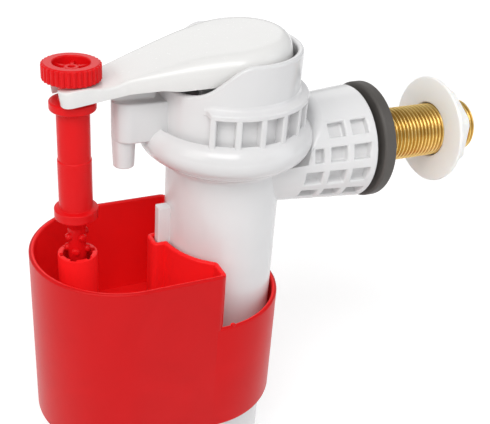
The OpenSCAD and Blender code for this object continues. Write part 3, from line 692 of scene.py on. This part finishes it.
def ring_of_copies():
    """Copies of a small mesh set round a circle, each turned to face out."""
    start, given = node_group(
        "ring_of_copies", Count="Int", Radius="Float", From="Float", Step="Float", Centre="Vector")
    angle = given["From"] + given["Step"] * start.add("GeometryNodeInputIndex")
    place = start.add("ShaderNodeCombineXYZ", {}, {
        "X": given["Radius"] * start.maths("COSINE", angle), "Y": given["Radius"] * start.maths("SINE", angle)})
    place = start.add("ShaderNodeVectorMath", {"operation": "ADD"}, {0: place, 1: given["Centre"]})
    points = start.add("GeometryNodePoints", {}, {"Count": given["Count"], "Position": place})
    copies = start.add("GeometryNodeInstanceOnPoints", {}, {
        "Points": points, "Instance": given["Geometry"],
        "Rotation": start.add("ShaderNodeCombineXYZ", {}, {"Z": angle})})
    return end_group(start, given, copies)


RING_OF_COPIES = ring_of_copies()

# The grip ribs stand at equal steps between the band's ledge and the collar.
RIB_COUNT = 15
RIB_WIDE = 0.85
RIB_OUT = 2.6
RIB_IN = -0.9
RIBS_OVER = 247
bm = bmesh.new()
plate(bm, rounded([(RIB_IN, -RIB_WIDE, 0), (RIB_OUT, -RIB_WIDE, 0.45), (RIB_OUT, RIB_WIDE, 0.45),
                   (RIB_IN, RIB_WIDE, 0)], 4), 11.8, 21.2, Matrix(), 0)
ribs = worked(solid("cap_ribs", bm, cap_white), RING_OF_COPIES, Material=cap_white, Count=RIB_COUNT, Radius=CAP_R * MM,
              From=math.radians(-RIBS_OVER / 2), Step=math.radians(RIBS_OVER / (RIB_COUNT - 1)),
              Centre=(TUBE_X * MM, 0, 0))
fit(ribs, "valve_head", "white_plastic")

# ---------------------------------------- pilot nozzle and hinge pin
# A small acetal nozzle is pressed into the cap's boss, and a steel pin through the ears carries the lever.
dress("pilot_nozzle", inner_plastic)
dress("hinge_pin", pin_steel)

# ---------------------------------------- lever
# White acetal lever: a hollow teardrop dome drawn out into a forked arm, rocking on the hinge pin.
# The fork straddles the level screw's neck; under the dome a rubber pad shuts the pilot nozzle.
REST_TILT = -8.4
PIN = Matrix.Translation((TUBE_X + EAR_X, 0, EAR_Z)) @ Matrix.Rotation(math.radians(REST_TILT), 4, "Y")
LEVER = PIN @ Matrix.Translation((0, 0, -1))
DOME_X = 9.3
DOME_R = 17.0
DOME_H = 6.6
TANGENT_X = 4.09
TANGENT_Y = 16.18
ARM_SLOPE = 0.322
ARM_LEAN = 0.952
ARM_X = -22.4
FORK_HALF = 7.7
FORK_END = -39.5
FORK_T = 3.0
FORK_GROWS = 1.3
FORK_ROUND = 2.6
FORK_SLOT = 4.2
SLOT_ROOT = -32.2
BACK_FROM = -3.3
BACK_SLOPE = 0.148
LEVER_WALL = 1.6
HOLLOW_END = -20.4
HUB_HALF = 5.9
lever_white = acetal("lever_acetal", (0.785, 0.783, 0.774, 1), (0.735, 0.733, 0.724, 1), 0.22, 55, 0)


def ridge(x):
    """Height of the lever's back along its middle."""
    straight = DOME_H - max(0.0, BACK_FROM - x) * BACK_SLOPE
    near = [DOME_H - max(0.0, BACK_FROM - x - 0.8 * k) * BACK_SLOPE for k in range(-6, 7)]
    back = sum(near) / len(near) if x > -20 else straight
    fork = FORK_T + FORK_GROWS * eased((-27.0 - x) / 8)
    return back + (fork - back) * eased((-22.0 - x) / 4.5)


def arm_half(x):
    """Half width of the arm, with the fork's outer corners rounded."""
    corner = max(0.0, FORK_ROUND - (x - FORK_END))
    rounding = FORK_ROUND - math.sqrt(max(0.0, FORK_ROUND ** 2 - corner ** 2))
    return max(FORK_HALF, TANGENT_Y - ARM_SLOPE * (TANGENT_X - x)) - rounding


def crown(x, y, inset):
    """Height over a point of the plan: the ridge, a slight crown and a rolled edge."""
    if x > TANGENT_X:
        inside = DOME_R - inset - math.hypot(x - DOME_X, y)
    else:
        half = arm_half(x) - inset
        inside = (half - abs(y)) * (ARM_LEAN if x > ARM_X else 1.0)
    roll = 0.7 + 3.7 * eased((x + 27) / 28)
    inside = min(roll, max(0.0, inside))
    fall = roll - math.sqrt(max(0.0, roll ** 2 - (roll - inside) ** 2))
    swell = 0.25 * max(0.0, 1 - (math.hypot(x - DOME_X, y) / 13) ** 2)
    return ridge(x) + swell - fall - inset


def lever_plan(inset, far):
    """Points round the teardrop from the arm's end to the dome and back."""
    along = [far + (TANGENT_X - far) * (k / 44) ** 1.35 for k in range(45)]
    side = [(x, arm_half(x) - inset) for x in along]
    first = math.degrees(math.atan2(TANGENT_Y, TANGENT_X - DOME_X))
    dome = arc(DOME_X, 0, DOME_R - inset, first, -first, 72)[1:-1]
    return side + dome + [(x, -y) for x, y in reversed(side)]


def skirt(x):
    """How far the lever's edge hangs below its flat underside beside the shield's notch."""
    return 0.8 * eased((x + 15) / 6) * eased((5 - x) / 5)


def teardrop(bm, inset, far, low):
    """Solid under the crown, from height low (less the skirt) up."""
    plan = lever_plan(inset, far)
    shares = [0, 0.012, 0.03, 0.06, 0.10, 0.15, 0.21, 0.28, 0.38, 0.52, 0.68, 0.84, 1]
    rows = []
    for x, y in plan:
        middle = x + (DOME_X - TANGENT_X) * eased((x + 23) / (TANGENT_X + 23)) if x <= TANGENT_X else DOME_X
        row = [Vector((x, y, low - skirt(x)))]
        for share in shares:
            px = x + (middle - x) * share
            py = y * (1 - share)
            row.append(Vector((px, py, crown(px, py, inset))))
        rows.append(row)
    made = [[bm.verts.new(LEVER @ p) for p in row] for row in rows]
    for one, two in zip(made, made[1:]):
        for i in range(len(one) - 1):
            bm.faces.new((one[i], one[i + 1], two[i + 1], two[i]))
    bm.faces.new([row[0] for row in made])
    bm.faces.new(made[0] + list(reversed(made[-1])))


bm = bmesh.new()
teardrop(bm, 0, FORK_END, 0)
lever_shell = solid("lever_moulding", bm, lever_white)
bm = bmesh.new()
teardrop(bm, LEVER_WALL, HOLLOW_END, -0.6)
cut(lever_shell, solid("lever_hollow", bm, lever_white))
slot = [(FORK_END - 4, FORK_SLOT), (FORK_END - 4, -FORK_SLOT)] + arc(SLOT_ROOT, 0, FORK_SLOT, -90, 90, 24)
bm = bmesh.new()
plate(bm, slot, -2, 8, LEVER, 0)
cut(lever_shell, solid("fork_slot", bm, lever_white))
soften = lever_shell.modifiers.new("soften", "BEVEL")
soften.width = 0.55 * MM
soften.segments = 4
soften.limit_method = "ANGLE"
soften.angle_limit = math.radians(50)
settle(lever_shell)
lever_shell.data.shade_smooth()
lever_shell.data.set_sharp_from_angle(angle=math.radians(40))
fit(lever_shell, "lever_arm", "white_plastic", "lever")

bm = bmesh.new()
ACROSS = Matrix.Rotation(math.radians(90), 4, "X")
turned(bm, rounded([(1.56, -HUB_HALF, 0.2), (2.6, -HUB_HALF, 0.3), (2.6, HUB_HALF, 0.3), (1.56, HUB_HALF, 0.2)]),
       PIN @ ACROSS, 40)
plate(bm, [(-1.5, -HUB_HALF), (1.5, -HUB_HALF), (1.5, HUB_HALF), (-1.5, HUB_HALF)], 2.9, 5.4, LEVER, 0)
turned(bm, rounded([(0, 5.6, 0), (4.4, 5.6, 0), (4.4, 2.2, 0.3), (3.03, 2.2, 0.15), (3.03, 3.4, 0), (0, 3.4, 0)]),
       LEVER @ Matrix.Translation((15, 0, 0)), 48)
fit(solid("lever_hub", bm, lever_white), "lever_arm", "white_plastic")
dress("pilot_pad", black_rubber)

# ---------------------------------------- brass shank
# Turned brass tail screwed into the barrel, cut along its whole length with a 19 threads-per-inch
# pipe thread and chamfered at its free end. Its bore takes the supply and holds the strainer.
SHANK_FROM = -12.1
SHANK_TO = 42.9
CREST_R = 8.33
THREAD_DEEP = 0.82
PITCH = 1.337
SUPPLY_R = 5.8


def brass(name):
    """Turned brass: brown tarnish in patches, fine lathe lines round it, and painted shade that darkens the thread
    roots below the bright crests.
    """
    material, start = new_finish(name)
    patches = grain(start, 160, 5, 0.7)
    speck = grain(start, 1500, 2, 0.5)
    lines = streaks(start, (9000, 300, 300), 2.0)
    bump = start.add("ShaderNodeBump", {}, {"Strength": 0.10, "Distance": 0.0001, "Height": lines})
    colour = start.add("ShaderNodeValToRGB", {"stops": [
        (0.25, (0.64, 0.40, 0.100, 1)), (0.5, (0.86, 0.60, 0.20, 1)), (0.75, (0.96, 0.75, 0.33, 1))]},
        {"Fac": 0.7 * patches + 0.3 * speck}, out="Color")
    spot = start.add("ShaderNodeTexCoord", out="Object")
    across = start.add("ShaderNodeVectorMath", {"operation": "MULTIPLY"}, {0: spot, 1: (0, 1, 1)})
    # Painted shade: the thread's roots are painted dark brown and the crests keep the brass colour.
    painted_root_shade = start.add("ShaderNodeMapRange", {"interpolation_type": "SMOOTHSTEP"}, {
        "Value": across.length(), "From Min": (CREST_R - THREAD_DEEP) * MM, "From Max": (CREST_R - 0.1) * MM})
    colour = tint(start, painted_root_shade * 0.7 + 0.3, (0.34, 0.18, 0.035, 1), colour)
    surface(start, {"Base Color": colour, "Metallic": 1.0, "Roughness": 0.20 + 0.16 * patches + 0.06 * lines,
                    "Normal": bump})
    return material


shank_brass = brass("turned_brass")


def pipe_thread():
    """A tube's skin from a grid, its radius waving along a right-hand helix and chamfered at the free end."""
    start, given = node_group("pipe_thread", From="Float", Length="Float", Crest="Float", Depth="Float", Pitch="Float",
                              Chamfer="Float", Along="Int", Round="Int")
    grid = start.add("GeometryNodeMeshGrid", {}, {
        "Size X": 1.0, "Size Y": 1.0, "Vertices X": given["Along"], "Vertices Y": given["Round"]})
    place = start.add("GeometryNodeInputPosition")
    along = (place.axis("X") + 0.5) * given["Length"]
    turn = (place.axis("Y") + 0.5) * math.tau
    wave = start.maths("COSINE", (along / given["Pitch"]) * math.tau + turn) * 0.5 + 0.5
    radius = given["Crest"] - given["Depth"] * wave
    radius = start.maths("MINIMUM", radius, given["Chamfer"] + (given["Length"] - along))
    skin = start.add("ShaderNodeCombineXYZ", {}, {
        "X": given["From"] + along, "Y": radius * start.maths("SINE", turn), "Z": radius * start.maths("COSINE", turn)})
    moved = start.add("GeometryNodeSetPosition", {}, {"Geometry": grid, "Position": skin})
    joined = start.add("GeometryNodeMergeByDistance", {}, {"Geometry": moved, "Distance": 1e-6})
    smooth = start.add("GeometryNodeSetShadeSmooth", {}, {"Geometry": joined})
    return end_group(start, given, smooth)


END_R = CREST_R - THREAD_DEEP * 1.06
shank_thread = worked(
    solid("shank_thread", bmesh.new(), shank_brass), pipe_thread(), Material=shank_brass, From=SHANK_FROM * MM,
    Length=(SHANK_TO - SHANK_FROM) * MM, Crest=CREST_R * MM, Depth=THREAD_DEEP * MM, Pitch=PITCH * MM,
    Chamfer=END_R * MM, Along=496, Round=97)
fit(shank_thread, "valve_head", "brass", "inlet_shank")

ALONG = Matrix.Rotation(math.radians(90), 4, "Y")
NOSE_R = 6.2
NOSE_END = -14.2
INNER_R = 5
SUPPLY_FROM = 19.2
bm = bmesh.new()
turned(bm, rounded([
    (END_R, SHANK_TO, 0.1), (END_R - 0.1, 20, 0), (NOSE_R, SHANK_FROM + 2, 0), (NOSE_R, NOSE_END, 0.2),
    (INNER_R, NOSE_END, 0.2), (INNER_R, 17.9, 0), (5.4, 17.9, 0), (5.4, SUPPLY_FROM, 0), (SUPPLY_R, SUPPLY_FROM, 0.1),
    (SUPPLY_R, SHANK_TO, 0.3)]), ALONG, 96)
fit(solid("shank_bore", bm, shank_brass), "valve_head", "brass")

# ---------------------------------------- O-ring, flow regulator and strainer
# Inside the shank: the sealing ring on its nose, the fluted regulator core with its soft ring, and a
# blue basket strainer pushed in from the supply end.
strainer_blue = acetal("strainer_blue", (0.20, 0.40, 0.62, 1), (0.13, 0.29, 0.50, 1), 0.4, 120, 0.1)
for node in ("shank_o_ring", "regulator_ring"):
    dress(node, black_rubber)
dress("regulator_core", inner_plastic)
dress("inlet_strainer", strainer_blue)

# ---------------------------------------- seal washer
# Thick moulded rubber washer, loose on the thread, that seals against the cistern's inner wall.
WASHER_R = 17.8
WASHER_BORE = 8.75
WASHER_FROM = 2.1
WASHER_TO = 6.1
bm = bmesh.new()
turned(bm, rounded([(WASHER_BORE, WASHER_FROM, 0.25), (WASHER_R, WASHER_FROM, 0.95), (WASHER_R, WASHER_TO, 0.95),
                    (WASHER_BORE, WASHER_TO, 0.25)], 7), ALONG, 128)
washer_rubber = rubber("washer_rubber", (0.050, 0.045, 0.041, 1), (0.105, 0.096, 0.089, 1), 55)
fit(solid("rubber_washer", bm, washer_rubber), "washer", "black_rubber", "seal_washer")

# ---------------------------------------- back nut
# Cream polypropylene nut with a wide clamping flange, moulded with a flared hexagon behind it.
NUT_AT = 29.8
FLANGE_R = 16.95
HEX_CORNER = 13.2
NUT_LONG = 7.4
NUT_BORE = 8.63
nut_cream = acetal("nut_polypropylene", (0.955, 0.942, 0.920, 1), (0.915, 0.898, 0.868, 1), 0.30, 60, 0.8)


def nut_outline(angle):
    """Half section: flange, fillet into the hexagon, chamfered end and bore."""
    sector = (angle % math.radians(60)) - math.radians(30)
    hexagon = HEX_CORNER * math.cos(math.radians(30)) / math.cos(sector)
    hexagon = min(hexagon, HEX_CORNER - 0.25)
    points = [(NUT_BORE, 0.3), (NUT_BORE + 0.3, 0)]
    points += [(FLANGE_R - back, z) for back, z in ((0.8, 0), (0.3, 0.12), (0.05, 0.4), (0, 0.75), (0.1, 1.15),
                                                    (0.45, 1.5), (1.0, 1.75))]
    for k in range(9):
        points.append((hexagon + (FLANGE_R - 1.9 - hexagon) * (1 - k / 8) ** 2, 2 + k / 4))
    for z in (4.5, 5.2, 5.9, 6.5, 6.9, 7.25):
        points.append((min(hexagon, HEX_CORNER + 0.35 - 0.28 * (z - 3.4)), z))
    tip = min(hexagon, HEX_CORNER - 1.05) - 0.35
    return points + [(tip, NUT_LONG), (NUT_BORE + 0.6, NUT_LONG), (NUT_BORE, NUT_LONG - 0.6)]


bm = bmesh.new()
turned(bm, nut_outline, Matrix.Translation((NUT_AT, 0, 0)) @ ALONG, 192)
fit(solid("flanged_nut", bm, nut_cream, 34), "nut", "white_plastic", "backnut")

# ---------------------------------------- level screw
# Red polypropylene screw: a knurled knob to turn by hand, a waisted neck held in the lever's fork, a
# plain rod with two flanges, and a thin stem whose snap lugs hold it in the float's socket.
SCREW_X = TUBE_X - 43.8
SCREW = Matrix.Translation((SCREW_X, 0, 0))
# Painted light: the lighter red painted on the float's inner skin.
RED_PAINTED_LIGHT = (0.960, 0.0160, 0.0180, 1)


def red_plastic(name, pale, deep, gloss, inside=None):
    """Red polypropylene: faint flow clouds, a waxy fine grain and pale scuffs. An inside mask paints light into the
    skin there: a lighter red that stands in for light coming through the thin wall."""
    material, start = new_finish(name)
    flow = grain(start, 45, 4, 0.55, 1.5)
    fine = grain(start, 2200, 2, 0.5)
    ripple = grain(start, 130, 2, 0.5)
    scuff = streaks(start, (700, 700, 120), 3.0, (0.3, 0.5, 0.2), 2.0)
    scuffed = start.maths("GREATER_THAN", scuff, 0.70) * 0.07
    bump = start.add("ShaderNodeBump", {}, {"Strength": 0.06, "Distance": 0.0004, "Height": fine * 0.25 + ripple})
    colour = tint(start, flow, pale, deep)
    # Painted light: inside the mask the colour is mixed toward a lighter red.
    if inside:
        colour = tint(start, inside(start), colour, RED_PAINTED_LIGHT)
    surface(start, {"Base Color": colour, "Roughness": gloss + 0.12 * fine + scuffed, "Normal": bump,
                    "IOR": 1.49, "Specular IOR Level": 0.16})
    return material


screw_red = red_plastic("screw_red", (0.760, 0.0065, 0.0085, 1), (0.660, 0.0040, 0.0060, 1), 0.24)
KNOB_TOP = 32.8
KNOB_LOW = 28.3
KNOB_FLOOR = 30.4
KNOB_BODY = 7.25
bm = bmesh.new()
turned(bm, rounded([
    (0, -49, 0), (1.9, -49, 0.6), (2.5, -47, 0.8), (2.5, -15, 1.0), (4.4, -12, 0.6), (6, -11.6, 0.25), (6, -8.9, 0.35),
    (4.6, -8.5, 0.25), (4.6, 5.7, 0.15), (4.4, 6, 0.15), (4.4, 20, 0.5), (6.15, 20.2, 0.5), (6.15, 22.6, 0.5),
    (3.6, 22.6, 0.3), (3.4, 23.4, 0.4), (3.5, 26.4, 0.6), (4.0, KNOB_LOW, 0.2), (7.0, KNOB_LOW, 0.25),
    (KNOB_BODY, KNOB_LOW + 0.4, 0.2), (KNOB_BODY, KNOB_TOP - 0.25, 0.3), (6.9, KNOB_TOP, 0.3), (4.8, KNOB_TOP, 0.4),
    (4.6, KNOB_FLOOR, 0.3), (2.1, KNOB_FLOOR, 0.2), (1.9, KNOB_FLOOR + 1.2, 0.4), (0.9, KNOB_FLOOR + 1.2, 0.3),
    (0.7, KNOB_FLOOR - 0.2, 0.1), (0, KNOB_FLOOR - 0.2, 0)]), SCREW, 96)
fit(solid("screw_moulding", bm, screw_red), "screw", "red_plastic", "level_screw")


def round_screw(name, bm, count, radius, first, height):
    """A small red mesh repeated at equal steps round the screw's axis."""
    copies = worked(solid(name, bm, screw_red), RING_OF_COPIES, Material=screw_red, Count=count, Radius=radius * MM,
                    From=first, Step=math.tau / count, Centre=(SCREW_X * MM, 0, height * MM))
    fit(copies, "screw", "red_plastic")


KNURLS = 32
SPOKES = 6
LUGS = 4
bm = bmesh.new()
turned(bm, rounded([(0, -2.05, 0), (0.6, -2.05, 0.3), (0.6, 2.1, 0.4), (0, 2.1, 0)], 3), Matrix(), 14)
round_screw("knob_knurl", bm, KNURLS, KNOB_BODY - 0.2, 0.03, 30.5)
bm = bmesh.new()
plate(bm, [(-1.9, -0.5), (1.9, -0.5), (1.9, 0.5), (-1.9, 0.5)], -0.9, 1.1, Matrix(), 0.3, 2)
round_screw("knob_spokes", bm, SPOKES, 3.4, 0.2, KNOB_FLOOR)
for row, (lug_z, lug_from) in enumerate(((-17.6, 20), (-22.0, 65))):
    bm = bmesh.new()
    turned(bm, rounded([(0, -0.8, 0), (1.1, -0.8, 0), (1.1, 0.7, 0.6), (0, 0.9, 0)], 4), ALONG, 20)
    round_screw(f"stem_lugs_{row}", bm, LUGS, 2.7, math.radians(lug_from), lug_z)

# ---------------------------------------- float cup
# Red polypropylene float: an open water cup above a deck, an air chamber under it, a keyed sleeve that
# slides on the down tube, a low band round the tube and the slotted socket for the level screw.
CUP_R = 25.5
CUP_FAR = -31.6
CUP_NEAR = -7.1
CUP_WALL = 1.5
CUP_RIM = -23.6
CUP_BAND = -41.8
CUP_LOW = -79.0
CUP_DECK = -56.0
CUP_CUT = -8.1
ARC_X = 3.5
ARC_R = 21.2
SLEEVE_R = 17.25
SLEEVE_WALL = 1.1
KEY_HALF = 2.0
KEY_END = -20.8
DECK_T = 1.6
WALL_LAP = 0.8
SLEEVE_LAP = 0.6


def painted_light_inside_cup(start):
    """1 on the skin inside the outer wall and above the deck's underside, where painted light lightens the red."""
    spot = start.add("ShaderNodeTexCoord", out="Object")
    along = spot.axis("X") - TUBE_X * MM
    middle = start.maths("MINIMUM", start.maths("MAXIMUM", along, CUP_FAR * MM), CUP_NEAR * MM)
    flat = start.add("ShaderNodeCombineXYZ", {}, {"X": along - middle, "Y": spot.axis("Y")})
    return start.maths("LESS_THAN", flat.length(), (CUP_R - CUP_WALL / 2) * MM) * start.maths(
        "GREATER_THAN", spot.axis("Z"), (CUP_DECK - 0.5) * MM)


# The float's inner skin gets painted light, a lighter red inside the cup.
cup_red = red_plastic("float_red", (0.650, 0.0055, 0.0075, 1), (0.560, 0.0036, 0.0050, 1), 0.27, painted_light_inside_cup)


def inward(loop, wall):
    """A closed counter-clockwise loop moved in by the wall."""
    moved = []
    count = len(loop)
    for k, (x, y) in enumerate(loop):
        ahead = Vector(loop[(k + 1) % count]) - Vector((x, y))
        back = Vector((x, y)) - Vector(loop[k - 1])
        beside = Vector((-ahead.y, ahead.x)).normalized()
        left = (beside + Vector((-back.y, back.x)).normalized()).normalized()
        even = max(0.35, left.dot(beside))
        moved.append((x + left.x * wall / even, y + left.y * wall / even))
    return moved


def walled(bm, loop, wall, low, high, rim, foot=0.0):
    """A wall of even thickness inside a closed loop, with a rolled rim and foot."""
    section = rounded([(0, low, foot), (wall, low, foot), (wall, high, rim), (0, high, rim)], 4)
    depths = {d: inward(loop, d) if d else loop for d in {round(s[0], 4) for s in section}}
    rings = [[TUBE @ Vector((*depths[round(d, 4)][k], z)) for d, z in section] for k in range(len(loop))]
    lofted(bm, rings, True)


def no_repeats(loop):
    """The loop without points that lie on the one before."""
    return [p for k, p in enumerate(loop) if (Vector(p) - Vector(loop[k - 1])).length > 0.02]


arc_y = math.sqrt(ARC_R ** 2 - (CUP_CUT - ARC_X) ** 2)
arc_first = math.degrees(math.atan2(-arc_y, CUP_CUT - ARC_X)) + 360
key_first = 180 + math.degrees(math.asin(KEY_HALF / ARC_R))
key_x = ARC_X - math.sqrt(ARC_R ** 2 - KEY_HALF ** 2)
near_arc = arc(ARC_X, 0, ARC_R, arc_first - 12, key_first + 4, 14)
edges = rounded([(CUP_FAR, -CUP_R, 0), (CUP_CUT, -CUP_R, 2.2), (CUP_CUT, -arc_y, 1.7), near_arc[0] + (0,)], 6)
key = rounded([near_arc[-1] + (0,), (key_x, -KEY_HALF, 1.6), (KEY_END, -KEY_HALF, 0.4), (KEY_END, KEY_HALF, 0.4),
               (key_x, KEY_HALF, 1.6), (near_arc[-1][0], -near_arc[-1][1], 0)], 4)
half = edges[1:-1] + near_arc[:-1]
cup_loop = no_repeats(half + key + [(x, -y) for x, y in reversed(half)] + arc(CUP_FAR, 0, CUP_R, 90, 270, 60))

CUP_SEAM = CUP_DECK - 1.2
bm = bmesh.new()
walled(bm, cup_loop, CUP_WALL, CUP_SEAM, CUP_RIM, 0.62)

BAND_FROM = CUP_CUT - 2.2
skirt_loop = [(BAND_FROM, -CUP_R, False), (BAND_FROM + 0.001, -CUP_R, True)]
skirt_loop += [(x, y, True) for x, y in arc(CUP_NEAR, 0, CUP_R, -90, 90, 60)]
skirt_loop += [(BAND_FROM + 0.001, CUP_R, True), (BAND_FROM, CUP_R, False)]
skirt_loop += [(x, y, False) for x, y in arc(CUP_FAR, 0, CUP_R, 90, 270, 60)]
foot = rounded([(0, CUP_LOW, 0.62), (CUP_WALL, CUP_LOW, 0.62), (CUP_WALL, CUP_SEAM, 0), (0, CUP_SEAM, 0)], 4)[:-2]
lip = [(1, 0.7), (0.93, 0.3), (0.75, 0.07), (0.5, 0), (0.25, 0.07), (0.07, 0.3), (0, 0.7)]
plan = [(x, y) for x, y, tall in skirt_loop]
depths = {d: inward(plan, d) for d in [d for d, z in foot] + [CUP_WALL * share for share, drop in lip]}
rings = []
for k, (x, y, tall) in enumerate(skirt_loop):
    section = foot + [(CUP_WALL * share, CUP_BAND - drop if tall else CUP_SEAM - 0.001) for share, drop in lip]
    rings.append([TUBE @ Vector((*depths[d][k], z)) for d, z in section])
lofted(bm, rings, True)


def deck_outline(angle):
    """Half section of the deck, from inside the sleeve's wall out into the cup's."""
    far = 10.0
    reach = 0.0
    while reach <= CUP_R - WALL_LAP:
        far += 0.06
        x = far * math.cos(angle)
        reach = math.hypot(x - min(CUP_NEAR, max(CUP_FAR, x)), far * math.sin(angle))
    near = SLEEVE_R + SLEEVE_LAP
    if math.cos(angle) < 0 and abs(math.tan(angle)) < KEY_HALF / 17:
        near = (KEY_END - SLEEVE_LAP) / math.cos(angle)
    return [(near, CUP_DECK - DECK_T), (far, CUP_DECK - DECK_T), (far, CUP_DECK), (near, CUP_DECK)]


turned(bm, deck_outline, TUBE, 180)
sleeve_turn = 180 - math.degrees(math.asin(KEY_HALF / SLEEVE_R))
sleeve_loop = no_repeats([(KEY_END, -KEY_HALF), (KEY_END, KEY_HALF)]
                         + arc(0, 0, SLEEVE_R, sleeve_turn, -sleeve_turn, 80))
walled(bm, sleeve_loop, SLEEVE_WALL, CUP_LOW, CUP_DECK - DECK_T / 2, 0.1, 0.4)

SCREW_SOCKET_R = 5.6
SOCKET_BORE = 4.1
SOCKET_SLOT = 4.9
SOCKET_FOOT = -56.4
SLOT_LONG = 8
SLOT_TURN = math.radians(11.5)


def socket_outline(angle):
    """Half section of the screw socket: slotted at its mouth, plain below."""
    off = abs((angle % math.radians(60)) - math.radians(30))
    mouth = SOCKET_SLOT if off > math.radians(30) - SLOT_TURN else SOCKET_BORE
    return [(SOCKET_BORE, SOCKET_FOOT), (SCREW_SOCKET_R, SOCKET_FOOT), (SCREW_SOCKET_R, CUP_RIM - 0.35),
            (SCREW_SOCKET_R - 0.1, CUP_RIM - 0.1), (SCREW_SOCKET_R - 0.35, CUP_RIM), (mouth + 0.2, CUP_RIM),
            (mouth, CUP_RIM - 0.2), (mouth, CUP_RIM - SLOT_LONG), (SOCKET_BORE, CUP_RIM - SLOT_LONG)]


turned(bm, socket_outline, SCREW, 180)
NIB_AT = (-5.2, -24.6)
turned(bm, rounded([(0, -0.4, 0), (0.75, -0.4, 0), (0.75, 0.45, 0.4), (0, 0.55, 0)], 4),
       TUBE @ Matrix.Translation((*NIB_AT, CUP_BAND)), 16)
fit(solid("float_moulding", bm, cup_red), "float", "red_plastic", "float_cup")
